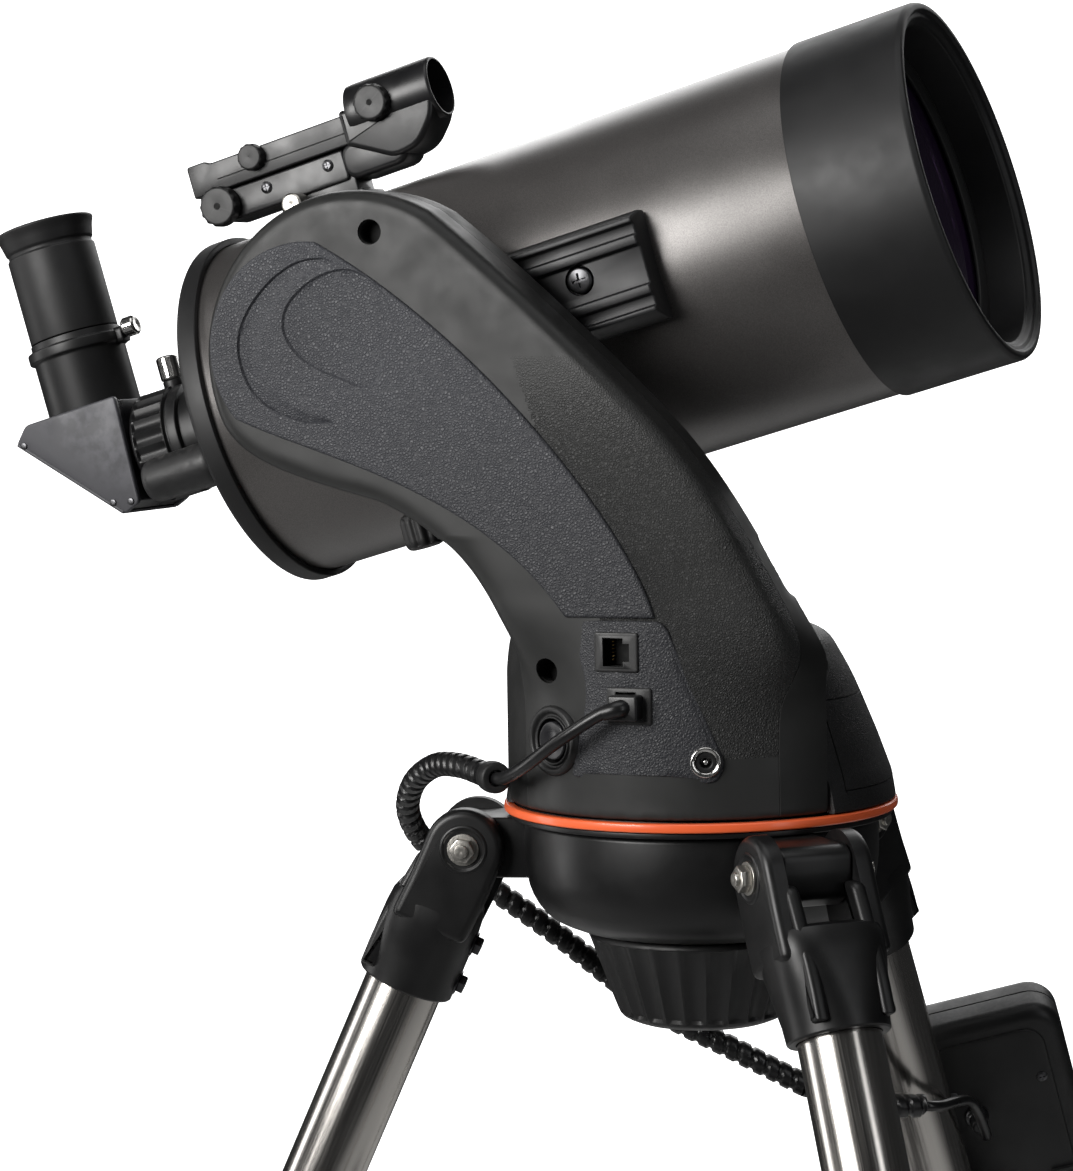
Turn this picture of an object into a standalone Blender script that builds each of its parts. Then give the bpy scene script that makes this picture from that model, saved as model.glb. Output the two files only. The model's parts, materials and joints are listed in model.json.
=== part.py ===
"""Computerised single-arm telescope on a tripod, as separate closed pieces.

Lengths are in millimetres in this file and become metres when a mesh is made.
The azimuth axis is vertical. The orange trim ring's centre is the mount frame's origin,
+X is the tube's heading, and the arm stands on the -Y side.
"""
from math import atan2, cos, degrees, pi, radians, sin, sqrt, tan

import bmesh
import bpy
from mathutils import Matrix, Vector

MM = 0.001
GAP = 0.3                      # running gap between neighbouring pieces

# Tripod
LEG_AZIMUTHS = {"a": 193.5, "b": 313.5, "c": 73.5}
LEG_SPREAD = 24.07             # degrees from vertical
HINGE_RADIUS = 92.0
HINGE_HEIGHT = -16.4
LEG_OFFSET = 2.8               # the tube stands this far outside its hinge pin
LEG_TUBE_RADIUS = 15.875       # 1.25 in tube
LEG_TUBE_WALL = 1.5
LEG_TUBE_TOP = -27.0
EXTENSION_RADIUS = 12.7        # 1 in tube
EXTENSION_TOP = -250.0
EXTENSION_END = -742.0
FOOT_END = -760.0
FOOT_RADIUS = 15.0
LUG_HALF_WIDTH = 14.25
EAR_OUTER = 22.5
EAR_RADIUS = 17.0
SOCKET_RADIUS = 19.5
SOCKET_BOTTOM = -63.5
LOCK_HEIGHT = -618.0           # lock knob along the leg
BRACE_HEIGHT = -430.0          # brace pivot along the leg
BRACE_INSET = -21.0
BRACE_SLOPE = 18.0             # brace rises towards the hub
HUB_PIVOT_RADIUS = 30.0

# Mount
RING_RADIUS = 77.8
BASE_RADIUS = 76.8
ARM_FRONT = -74.0
ARM_SPLIT = -56.0
ARM_BACK = -38.0
ARM_WALL = 2.6
ARM_END_CENTRE = (-114.0, 179.0)
ARM_END_RADIUS = 63.5
PANEL_RISE = 1.4
DOOR_HEIGHTS = (10.0, 44.0)       # battery door in the drive base
DOOR_HALF_ANGLE = 24.0
GEAR_MODULE = 3.5
AZIMUTH_TEETH = 18
ALTITUDE_TEETH = 24
PINION_TEETH = 8
PINION_LEAN = 20.0             # altitude pinion, degrees below level from its gear

# Facets round a circle
FINE = 32
PLAIN = 24
COARSE = 14
SMALL = 8

# Optical tube, along its own axis from the altitude axis
ALTITUDE_AXIS = (-113.5, 182.3)
TUBE_TILT = 16.04
TUBE_SIDE = 58.5               # tube axis from the azimuth axis
TUBE_RADIUS = 72.5
TUBE_WALL = 1.2
TUBE_REAR = -104.3
TUBE_FRONT = 172.0
CELL_REAR = 169.0
CELL_FRONT = 220.0
CELL_RADIUS = 74.0
CELL_BORE = 65.3
LENS_SEAT = 184.0
REAR_RING_RADIUS = 75.5
BAFFLE_RADIUS = 20.3
NUT_RADIUS = 24.0
NUT_REAR = -161.0
NUT_FRONT = -138.0
NOSE_RADIUS = 15.85            # 1.25 in barrel
BAR_HALF_WIDTH = 22.0          # 44 mm dovetail
BAR_REAR = -48.0
BAR_FRONT = 108.0
EYEPIECE_AXIS = -185.2
HOLDER_RADIUS = 20.8
HOLDER_TOP = 58.0
EYEPIECE_TOP = 108.7

# Hand controller
CONTROLLER_TOP = (62.0, 185.0, -113.0)
CONTROLLER_SIZE = (68.0, 28.0, 160.0)


def direction(azimuth, elevation=0.0):
    """Unit vector at an azimuth and elevation in degrees."""
    a, e = radians(azimuth), radians(elevation)
    return Vector((cos(a) * cos(e), sin(a) * cos(e), sin(e)))


def foot_centre(azimuth):
    """Where a leg's foot meets the floor, in the mount frame."""
    spread = radians(LEG_SPREAD)
    radius = HINGE_RADIUS + LEG_OFFSET * cos(spread) - FOOT_END * sin(spread)
    height = HINGE_HEIGHT + LEG_OFFSET * sin(spread) + FOOT_END * cos(spread)
    point = radius * direction(azimuth)
    return Vector((point.x, point.y, height))


FEET = [foot_centre(azimuth) for azimuth in LEG_AZIMUTHS.values()]
MOUNT_ORIGIN = Vector((
    -(min(f.x for f in FEET) + max(f.x for f in FEET)) / 2,
    -(min(f.y for f in FEET) + max(f.y for f in FEET)) / 2,
    -FEET[0].z,
))

MATERIALS = {}


def material(name, colour, roughness, metallic=0.0):
    """One Principled material, made once."""
    if name not in MATERIALS:
        made = bpy.data.materials.new(name)
        made.use_nodes = True
        shader = made.node_tree.nodes["Principled BSDF"]
        shader.inputs["Base Color"].default_value = (*colour, 1.0)
        shader.inputs["Roughness"].default_value = roughness
        shader.inputs["Metallic"].default_value = metallic
        MATERIALS[name] = made
    return MATERIALS[name]


def black_plastic():
    return material("black_plastic", (0.022, 0.022, 0.024), 0.5)


def textured_plastic():
    return material("textured_plastic", (0.035, 0.035, 0.038), 0.6)


def black_metal():
    return material("black_metal", (0.02, 0.02, 0.022), 0.35, 0.4)


def grey_paint():
    return material("grey_paint", (0.11, 0.10, 0.10), 0.35, 0.6)


def steel():
    return material("steel", (0.55, 0.53, 0.5), 0.25, 1.0)


def rubber():
    return material("rubber", (0.02, 0.02, 0.02), 0.8)


def brass():
    return material("brass", (0.6, 0.42, 0.16), 0.35, 1.0)


def glass():
    return material("glass", (0.12, 0.08, 0.16), 0.03)


# ---------------------------------------------------------------- mesh helpers

def clear_scene():
    for old in list(bpy.data.objects):
        bpy.data.objects.remove(old, do_unlink=True)


def add_frame(name, parent=None, place=(0, 0, 0), turn=None):
    """An empty that stands on a joint's axis; place in mm, turn a rotation matrix."""
    empty = bpy.data.objects.new(name, None)
    bpy.context.collection.objects.link(empty)
    empty.parent = parent
    matrix = (turn or Matrix.Identity(3)).to_4x4()
    matrix.translation = Vector(place) * MM
    empty.matrix_local = matrix
    return empty


def add_piece(name, shape, parent, finish=None):
    """Turns a bmesh in mm into a named object."""
    bmesh.ops.remove_doubles(shape, verts=shape.verts, dist=0.001)
    bmesh.ops.recalc_face_normals(shape, faces=shape.faces)
    bmesh.ops.scale(shape, vec=(MM, MM, MM), verts=shape.verts)
    mesh = bpy.data.meshes.new(name)
    shape.to_mesh(mesh)
    shape.free()
    mesh.shade_smooth()
    mesh.set_sharp_from_angle(angle=radians(35))
    piece = bpy.data.objects.new(name, mesh)
    bpy.context.collection.objects.link(piece)
    piece.parent = parent
    if finish:
        mesh.materials.append(finish)
    return piece


def combine(target, shape, operation, solver="EXACT"):
    """Adds (UNION) or cuts (DIFFERENCE) a helper shape with a Boolean modifier."""
    count = len(target.modifiers)
    helper = add_piece(f"{target.name}_helper_{count}", shape, target.parent)
    helper.hide_render = True
    helper.display_type = "WIRE"
    modifier = target.modifiers.new(f"helper_{count}", "BOOLEAN")
    modifier.operation = operation
    modifier.solver = solver
    modifier.object = helper
    return target


def join(target, shape):
    return combine(target, shape, "UNION")


def cut(target, shape, solver="EXACT"):
    return combine(target, shape, "DIFFERENCE", solver)


AXES = {
    "Z": lambda a, b, h: (a, b, h),
    "X": lambda a, b, h: (h, a, b),
    "Y": lambda a, b, h: (b, h, a),
}


def revolve(profile, axis="Z", centre=(0, 0, 0), segments=PLAIN, start=0.0, sweep=360.0, ribs=(), depth=0.0):
    """Turns a (radius, height) profile about an axis. A full profile loops back to its start.

    ribs lists profile points whose radius drops by depth on every other pair of segments.
    A sweep under 360 degrees gets end caps.
    """
    shape = bmesh.new()
    offset = Vector(centre)
    full = sweep >= 360.0
    steps = segments if full else segments + 1
    rings = []
    for step in range(steps):
        angle = radians(start + sweep * step / segments)
        ring = []
        for index, (radius, height) in enumerate(profile):
            if index in ribs and step % 4 in (2, 3):
                radius -= depth
            if radius < 1e-6 and rings:
                ring.append(rings[0][index])
                continue
            point = AXES[axis](radius * cos(angle), radius * sin(angle), height)
            ring.append(shape.verts.new(offset + Vector(point)))
        rings.append(ring)
    count = len(profile)
    for step in range(segments):
        here, there = rings[step], rings[(step + 1) % steps]
        for index in range(count):
            corner = [here[index], there[index], there[(index + 1) % count], here[(index + 1) % count]]
            corner = list(dict.fromkeys(corner))
            if len(corner) > 2:
                shape.faces.new(corner)
    if not full:
        shape.faces.new(rings[0])
        shape.faces.new(rings[-1])
    return shape


def rod(radius, low, high, axis="Z", centre=(0, 0, 0), segments=COARSE):
    """A solid cylinder between two heights on its axis."""
    return revolve([(0, low), (radius, low), (radius, high), (0, high)], axis, centre, segments)


def pipe(radius, bore, low, high, axis="Z", centre=(0, 0, 0), segments=PLAIN):
    return revolve([(bore, low), (radius, low), (radius, high), (bore, high)], axis, centre, segments)


PLANES = {
    "Z": lambda a, b, h: (a, b, h),
    "Y": lambda a, b, h: (a, h, b),
    "X": lambda a, b, h: (h, a, b),
}


def slab(outline, axis, low, high):
    """Extrudes a flat outline between two heights; axis Y takes (x, z) points."""
    shape = bmesh.new()
    bottom = [shape.verts.new(PLANES[axis](a, b, low)) for a, b in outline]
    top = [shape.verts.new(PLANES[axis](a, b, high)) for a, b in outline]
    shape.faces.new(bottom)
    shape.faces.new(top)
    for index in range(len(outline)):
        after = (index + 1) % len(outline)
        shape.faces.new((bottom[index], bottom[after], top[after], top[index]))
    return shape


def block(low, high):
    """A box between two corners."""
    outline = [(low[0], low[1]), (high[0], low[1]), (high[0], high[1]), (low[0], high[1])]
    return slab(outline, "Z", low[2], high[2])


def rounded_block(low, high, radius, axis="Y", steps=3):
    """A box whose four edges along the axis are rounded."""
    order = {"Z": (0, 1, 2), "Y": (0, 2, 1), "X": (1, 2, 0)}[axis]
    a0, b0, h0 = (low[i] for i in order)
    a1, b1, h1 = (high[i] for i in order)
    corners = [(a1 - radius, b1 - radius, 0), (a0 + radius, b1 - radius, 90),
               (a0 + radius, b0 + radius, 180), (a1 - radius, b0 + radius, 270)]
    outline = []
    for a, b, turn in corners:
        outline += arc((a, b), radius, turn, turn + 90, steps)
    return slab(outline, axis, h0, h1)


def arc(centre, radius, start, end, steps):
    """Points along a circular arc, ends included, angles in degrees."""
    points = []
    for step in range(steps + 1):
        angle = radians(start + (end - start) * step / steps)
        points.append((centre[0] + radius * cos(angle), centre[1] + radius * sin(angle)))
    return points


def bezier(p0, p1, p2, p3, steps):
    """Points along a cubic curve, without its first point."""
    points = []
    for step in range(1, steps + 1):
        t = step / steps
        weights = ((1 - t) ** 3, 3 * t * (1 - t) ** 2, 3 * t * t * (1 - t), t ** 3)
        x = sum(w * p[0] for w, p in zip(weights, (p0, p1, p2, p3)))
        y = sum(w * p[1] for w, p in zip(weights, (p0, p1, p2, p3)))
        points.append((x, y))
    return points


def inset(outline, distance):
    """An outline moved inwards by a distance; the outline runs anticlockwise."""
    moved = []
    count = len(outline)
    for index in range(count):
        before = Vector(outline[index - 1])
        here = Vector(outline[index])
        after = Vector(outline[(index + 1) % count])
        first = (here - before).normalized()
        second = (after - here).normalized()
        normal = Vector((-first.y - second.y, first.x + second.x)).normalized()
        stretch = max(0.5, normal.dot(Vector((-first.y, first.x))))
        moved.append(tuple(here + normal * distance / stretch))
    return moved


def gear(teeth, low, high, bore, axis, centre, phase=0.0):
    """A spur gear with straight-sided teeth and generous backlash."""
    pitch_radius = GEAR_MODULE * teeth / 2
    pitch = 360.0 / teeth
    tooth = ((-0.31, -1.28), (-0.11, 0.75), (0.11, 0.75), (0.31, -1.28))
    shape = bmesh.new()

    def corner(radius, angle, height):
        a = radians(phase + angle)
        point = AXES[axis](radius * cos(a), radius * sin(a), height)
        return shape.verts.new(Vector(point) + Vector(centre))

    levels = []
    for height in (low, high):
        hole = [corner(bore, pitch * (index - 0.5), height) for index in range(teeth)]
        rim = [[corner(pitch_radius + GEAR_MODULE * rise, pitch * (index + share), height)
                for share, rise in tooth] for index in range(teeth)]
        levels.append((hole, rim))
    for hole, rim in levels:
        for index in range(teeth):
            after = (index + 1) % teeth
            shape.faces.new([hole[index]] + rim[index] + [rim[after][0], hole[after]])
    (low_hole, low_rim), (high_hole, high_rim) = levels
    low_edge = [vertex for points in low_rim for vertex in points]
    high_edge = [vertex for points in high_rim for vertex in points]
    for below, above in ((low_hole, high_hole), (low_edge, high_edge)):
        for index in range(len(below)):
            after = (index + 1) % len(below)
            shape.faces.new((below[index], below[after], above[after], above[index]))
    return shape


def smooth_path(points, steps=3):
    """A Catmull-Rom curve through (x, y, z, radius) points."""
    knots = [Vector(point) for point in points]
    path = [knots[0]]
    for index in range(len(knots) - 1):
        before = knots[max(index - 1, 0)]
        here, there = knots[index], knots[index + 1]
        after = knots[min(index + 2, len(knots) - 1)]
        for step in range(1, steps + 1):
            t = step / steps
            path.append(0.5 * (2 * here + (there - before) * t
                               + (2 * before - 5 * here + 4 * there - after) * t ** 2
                               + (3 * here - before - 3 * there + after) * t ** 3))
    return path


def swept_tube(points, sides=6):
    """A round cord through (x, y, z, radius) points."""
    shape = bmesh.new()
    path = [point.xyz for point in points]
    radii = [point.w for point in points]
    rings = []
    side = Vector((0, 0, 1))
    for index, point in enumerate(path):
        ahead = path[min(index + 1, len(path) - 1)] - path[max(index - 1, 0)]
        ahead.normalize()
        side = (side - ahead * side.dot(ahead)).normalized()
        across = ahead.cross(side)
        ring = []
        for step in range(sides):
            angle = 2 * pi * step / sides
            ring.append(shape.verts.new(point + radii[index] * (cos(angle) * side + sin(angle) * across)))
        rings.append(ring)
    for here, there in zip(rings, rings[1:]):
        for step in range(sides):
            after = (step + 1) % sides
            shape.faces.new((here[step], here[after], there[after], there[step]))
    shape.faces.new(rings[0])
    shape.faces.new(rings[-1])
    return shape


# ---------------------------------------------------------------- tripod head

def lug_outline():
    """Head lug in (radius, height) from the axis, rounded about the hinge pin."""
    end = arc((HINGE_RADIUS, HINGE_HEIGHT), 12.6, -80, 70, 4)
    return [(66, -29.0), (HINGE_RADIUS, -29.0)] + end + [(HINGE_RADIUS - 4, -4.6), (66, -4.6)]


def turned(shape, azimuth):
    """Turns a shape about the azimuth axis."""
    turn = Matrix.Rotation(radians(azimuth), 3, "Z")
    bmesh.ops.rotate(shape, verts=shape.verts, cent=(0, 0, 0), matrix=turn)
    return shape


def add_tripod_head(mount):
    bowl = [(8, -49), (49, -49), (61.5, -44), (68.4, -33.5), (70.2, -20), (70, -4.6),
            (66, -4.6), (66, -20), (64, -31.5), (57.5, -39.8), (47, -44.2), (8, -44.2)]
    head = add_piece("head_casting", revolve(bowl, segments=PLAIN), mount, black_plastic())
    for azimuth in LEG_AZIMUTHS.values():
        join(head, turned(slab(lug_outline(), "Y", -LUG_HALF_WIDTH, LUG_HALF_WIDTH), azimuth))
        pin = rod(3.5, -20, 20, "Y", (HINGE_RADIUS, 0, HINGE_HEIGHT), SMALL)
        cut(head, turned(pin, azimuth))
    plate = [(0, -7.2), (65.6, -7.2), (65.6, -4.2), (75.6, -4.2), (75.6, -2.2), (73.5, -2.2), (73.5, 1.9),
             (9, 1.9), (9, 34), (0, 34)]
    add_piece("base_plate", revolve(plate, segments=PLAIN), mount, black_plastic())
    ring = [(74.4, -1.8), (RING_RADIUS, -1.8), (RING_RADIUS, 1.8), (74.4, 1.8)]
    orange = material("orange_plastic", (0.87, 0.13, 0.035), 0.4)
    add_piece("trim_ring", revolve(ring, segments=FINE), mount, orange)
    add_piece("azimuth_gear", gear(AZIMUTH_TEETH, 2.2, 8, 12, "Z", (0, 0, 0)), mount, brass())


def add_mount_knob(mount):
    frame = add_frame("mount_knob_axis", mount)
    profile = [(0, -87.4), (28, -87.4), (33.5, -82.7), (39.6, -67), (45.8, -50.8),
               (44, -49.6), (5, -49.6), (5, -12), (0, -12)]
    add_piece("mount_knob", revolve(profile, segments=24, ribs=(2, 3, 4), depth=1.6), frame, black_plastic())


# ---------------------------------------------------------------- fork arm

def arm_outline():
    """Arm plate in (x, z), anticlockwise from the waist's right side."""
    right = bezier((66, 62), (50, 90), (33, 126), (8, 152.6), 6)
    top = bezier((8, 152.6), (-20, 181), (-56, 214), (-82, 234), 5)
    end = arc(ARM_END_CENTRE, ARM_END_RADIUS, 62, 205, 13)
    belly = bezier(end[-1], (-163, 136), (-135, 130), (-105, 122), 4)
    under = bezier((-105, 122), (-80, 112), (-49, 92), (-48.7, 58), 6)
    return [(66, 62)] + right + top + end[1:] + belly + under


def base_sector(radius, low_y, high_y, low_z, high_z, steps=12):
    """The part of an upright cylinder between two planes across Y, on the arm's side."""
    half = sqrt(radius ** 2 - high_y ** 2)
    start = degrees(atan2(high_y, -half))
    end = degrees(atan2(high_y, half))
    points = arc((0, 0), radius, start, end, steps)
    if radius > -low_y:
        points = [(x, max(y, low_y)) for x, y in points]
    return slab(points, "Z", low_z, high_z)


def panel_outline():
    """Raised cover on the arm's outer face."""
    end = arc((-133, 182), 41, 83, 222, 9)
    under = bezier(end[-1], (-128, 139), (-62, 128), (-27, 79), 6)
    right = bezier((9, 79), (0, 112), (-60, 186), end[0], 8)
    return [(9, 79)] + right[:-1] + end + under[:-1] + [(-27, 79)]


def add_arm(arm):
    outline = arm_outline()
    inner = inset(outline, ARM_WALL)
    hole = ("Y", (ALTITUDE_AXIS[0], 0, ALTITUDE_AXIS[1]))
    outer_shell = add_piece("arm_outer_shell", slab(outline, "Y", ARM_FRONT, ARM_SPLIT - GAP), arm, black_plastic())
    join(outer_shell, base_sector(BASE_RADIUS, -BASE_RADIUS, ARM_SPLIT - GAP, 2.4, 66))
    cut(outer_shell, slab(inner, "Y", ARM_FRONT + ARM_WALL, ARM_SPLIT + 5))
    cut(outer_shell, base_sector(BASE_RADIUS - 4.6, -BASE_RADIUS, ARM_SPLIT + 5, 5, 61))
    recess = revolve([(75.0, 16.5), (84, 16.5), (84, 77.8), (75.0, 77.8)], start=250, sweep=40, segments=8)
    cut(outer_shell, recess)
    cut(outer_shell, switch_shape(9.4, 66, 84))

    inner_shell = add_piece("arm_inner_shell", slab(outline, "Y", ARM_SPLIT, ARM_BACK), arm, black_plastic())
    join(inner_shell, base_sector(BASE_RADIUS, ARM_SPLIT, ARM_BACK, 2.4, 66, 40))
    cut(inner_shell, slab(inner, "Y", ARM_SPLIT - 5, ARM_BACK - ARM_WALL))
    cut(inner_shell, block((-58, ARM_SPLIT - 5, 5), (58, ARM_BACK - ARM_WALL, 61)))
    cut(inner_shell, rod(14.0, ARM_BACK - 8, ARM_BACK + 5, *hole, segments=FINE))

    cover = slab(panel_outline(), "Y", ARM_FRONT - GAP - PANEL_RISE, ARM_FRONT - GAP)
    add_piece("arm_cover_panel", cover, arm, textured_plastic())
    panel = [(75.3, 17.5), (76.6, 17.5), (76.6, 76.8), (75.3, 76.8)]
    port_panel = revolve(panel, start=250.8, sweep=38.4, segments=8)
    add_piece("port_panel", port_panel, arm, textured_plastic())

    green = material("circuit_board", (0.02, 0.16, 0.06), 0.5)
    add_piece("circuit_board", block((-22, -62, 16), (26, -60.4, 58)), arm, green)
    motor = rod(12, -70, -44, "Y", (-22, 0, 132))
    add_piece("altitude_motor", motor, arm, steel())


def switch_shape(radius, low, high):
    """A short radial cylinder at the power switch's place."""
    shape = rod(radius, low, high, "X", (0, 0, 31), 16)
    return turned(shape, 242.0)


def dome_profile(shrink=0.0):
    """Outer wall of the drive base as (radius, height)."""
    return [(77 - shrink, 2.4), (75.6 - shrink, 12), (69.8 - shrink, 28), (60.4 - shrink, 51),
            (51.6 - shrink, 66.5 - shrink / 3), (43 - shrink, 70.8 - shrink / 2)]


def add_drive_base(arm):
    wall = 2.6
    outer = dome_profile() + [(0, 71.5)]
    inside = [(0, 71.5 - wall)] + [(r, max(h, 2.4)) for r, h in reversed(dome_profile(wall))]
    cover = add_piece("drive_base_cover", revolve(outer + inside, segments=PLAIN), arm, black_plastic())
    cut(cover, block((-90, -90, -5), (90, ARM_BACK + GAP, 90)))
    cut(cover, doorway_shape())

    door = add_frame("battery_door_slide", arm)
    add_piece("battery_door", door_shape(), door, black_plastic())

    cells = material("battery_holder", (0.05, 0.05, 0.06), 0.5)
    add_piece("battery_pack", rounded_block((12, -28, 11), (52, 20, 42), 6, "Y"), arm, cells)
    motor = revolve([(0, 12), (12, 12), (12, 40), (4, 40), (4, 44), (0, 44)], centre=(-20, 42, 0), segments=COARSE)
    add_piece("azimuth_motor", motor, arm, steel())


def dome_radius(height):
    """Outer radius of the drive base at a height."""
    levels = dome_profile()
    for (r0, h0), (r1, h1) in zip(levels, levels[1:]):
        if h0 <= height <= h1:
            return r0 + (r1 - r0) * (height - h0) / (h1 - h0)
    return levels[-1][0]


def doorway_shape():
    """Cutter for the battery door's opening."""
    low, high = DOOR_HEIGHTS
    profile = [(54, low), (90, low), (90, high), (54, high)]
    return revolve(profile, start=-DOOR_HALF_ANGLE, sweep=2 * DOOR_HALF_ANGLE, segments=8)


def door_shape():
    """The battery door, curved like the drive base and clear of its opening."""
    low, high = DOOR_HEIGHTS
    heights = [low + GAP, 12, 28, high - GAP]
    profile = [(dome_radius(h), h) for h in heights] + [(dome_radius(h) - 2.2, h) for h in reversed(heights)]
    half = DOOR_HALF_ANGLE - 0.5
    return revolve(profile, start=-half, sweep=2 * half, segments=8)


def add_arm_drives(arm):
    distance = gear_distance(AZIMUTH_TEETH)
    azimuth_pinion = add_frame("azimuth_pinion_axis", arm, (0, distance, 0))
    phase = meshing_phase(90.0, 90.0, AZIMUTH_TEETH)
    add_piece("azimuth_pinion", gear(PINION_TEETH, 2.8, 8, 2.5, "Z", (0, 0, 0), phase), azimuth_pinion, brass())

    distance = gear_distance(ALTITUDE_TEETH)
    lean = radians(PINION_LEAN)
    pinion_place = (ALTITUDE_AXIS[0] + distance * cos(lean), 0, ALTITUDE_AXIS[1] - distance * sin(lean))
    altitude_pinion = add_frame("altitude_pinion_axis", arm, pinion_place)
    # Gears about Y are laid out from +Z towards +X, so the pinion lies 90 degrees plus its lean round.
    around = 90.0 + PINION_LEAN
    phase = meshing_phase(around, around + TUBE_TILT, ALTITUDE_TEETH)
    shape = gear(PINION_TEETH, -50, -45, 2.5, "Y", (0, 0, 0), phase)
    add_piece("altitude_pinion", shape, altitude_pinion, brass())


def gear_distance(teeth):
    """Centre distance to the pinion, with a little backlash."""
    return GEAR_MODULE * (teeth + PINION_TEETH) / 2 + 0.5


def meshing_phase(around, on_gear, teeth):
    """Pinion phase that puts a gap where the big gear has a tooth.

    around is the pinion's direction from the gear's centre; on_gear is the same direction
    measured on the gear itself, whose tooth 0 is at 0 degrees.
    """
    lead = (on_gear * teeth / 360.0) % 1.0
    pitch = 360.0 / PINION_TEETH
    return around + 180.0 + pitch * (0.5 + lead)


def add_switch(arm):
    place = 74.0 * direction(242.0)
    turn = Matrix.Rotation(radians(242.0), 3, "Z")
    frame = add_frame("power_switch_axis", arm, (place.x, place.y, 31.0), turn)
    rocker = rod(8.3, -4.5, 2.0, "X", (0, 0, 0), 16)
    add_piece("power_switch", rocker, frame, black_plastic())


# ---------------------------------------------------------------- optical tube

SIDE = (0, TUBE_SIDE, 0)


def add_tube_assembly(tube):
    body = pipe(TUBE_RADIUS, TUBE_RADIUS - TUBE_WALL, TUBE_REAR, TUBE_FRONT, "X", SIDE, FINE)
    add_piece("main_tube", body, tube, grey_paint())
    cell = [(72.8, CELL_REAR), (CELL_RADIUS, CELL_REAR), (CELL_RADIUS, CELL_FRONT), (CELL_BORE, CELL_FRONT),
            (CELL_BORE, LENS_SEAT), (60, LENS_SEAT), (60, TUBE_FRONT + GAP), (72.8, TUBE_FRONT + GAP)]
    add_piece("front_cell", revolve(cell, "X", SIDE, FINE), tube, black_metal())
    lens = [(0, 178), (36, 180.6), (59, 184.3), (65, 184.3), (65, 196.5), (36, 190), (0, 188)]
    add_piece("corrector_lens", revolve(lens, "X", SIDE, PLAIN), tube, glass())
    rear = [(72.8, -95), (REAR_RING_RADIUS, -95), (REAR_RING_RADIUS, -104.5), (52, -109.5),
            (20.8, -112), (20.8, -104.8), (72.8, -104.8)]
    rear_cell = add_piece("rear_cell", revolve(rear, "X", SIDE, FINE), tube, black_metal())
    cut(rear_cell, rod(3.6, -125, -90, "X", (0, 28.5, -16), SMALL))
    baffle = [(BAFFLE_RADIUS - 2, -112), (BAFFLE_RADIUS, -112), (BAFFLE_RADIUS, -60), (14, 60),
              (12.8, 60), (BAFFLE_RADIUS - 2, -60)]
    add_piece("baffle_tube", revolve(baffle, "X", SIDE, COARSE), tube, black_metal())
    back = [(16.5, -112.4), (20.5, -112.4), (20.5, NUT_FRONT), (NUT_RADIUS, NUT_FRONT - 1),
            (NUT_RADIUS, NUT_REAR), (16.5, NUT_REAR)]
    visual_back = revolve(back, "X", SIDE, 24, ribs=(3, 4), depth=1.0)
    visual_back = add_piece("visual_back", visual_back, tube, black_metal())
    cut(visual_back, rod(2.2, 10, 30, "Z", (-145, TUBE_SIDE, 0), SMALL))

    saddle = add_piece("altitude_saddle", rod(38, -37.4, -30, "Y", (0, 0, 0), PLAIN), tube, black_metal())
    join(saddle, block((-42, -31, 22.5), (42, -18.5, 31)))
    join(saddle, block((-42, -31, -31), (42, -18.5, -22.5)))
    join(saddle, rod(13.4, -66, -36, "Y", (0, 0, 0), COARSE))
    cut(saddle, rod(3.6, -40, -20, "Z", (-14, -25, 0), SMALL))
    add_piece("altitude_gear", gear(ALTITUDE_TEETH, -50, -45, 13.8, "Y", (0, 0, 0)), tube, brass())

    bar = [(-BAR_HALF_WIDTH + 3.4, -29.6), (BAR_HALF_WIDTH - 3.4, -29.6), (BAR_HALF_WIDTH, -20),
           (BAR_HALF_WIDTH, -14.4), (-BAR_HALF_WIDTH, -14.4), (-BAR_HALF_WIDTH, -20)]
    outline = [(depth, width) for width, depth in bar]
    dovetail = add_piece("dovetail_bar", slab(outline, "X", BAR_REAR, BAR_FRONT), tube, black_metal())
    cut(dovetail, rod(5.2, -35, -24, "Y", (80.0, 0, 0), SMALL))

    knob = add_frame("dovetail_knob_axis", tube, (-14, -25, 0))
    profile = [(0, -84), (9.5, -84), (11, -82), (11, -66), (3.2, -61), (3.2, -23.2), (0, -23.2)]
    add_piece("dovetail_knob", revolve(profile, segments=16, ribs=(2, 3), depth=1.2), knob, black_plastic())


def add_focuser(tube):
    focus = add_frame("focus_axis", tube, (0, 28.5, -16))
    profile = [(0, -153.5), (8.6, -153.5), (8.6, -127), (3.2, -127), (3.2, -92), (0, -92)]
    grey = material("grey_rubber", (0.13, 0.13, 0.13), 0.6)
    add_piece("focus_knob", revolve(profile, "X", segments=COARSE), focus, grey)
    slide = add_frame("mirror_slide", tube)
    mirror = [(22.6, -84), (62, -84), (62, -74), (26, -78.6), (26, -56), (22.6, -56)]
    chrome = material("mirror_coating", (0.85, 0.86, 0.88), 0.05, 1.0)
    add_piece("primary_mirror", revolve(mirror, "X", SIDE, PLAIN), slide, chrome)


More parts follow.
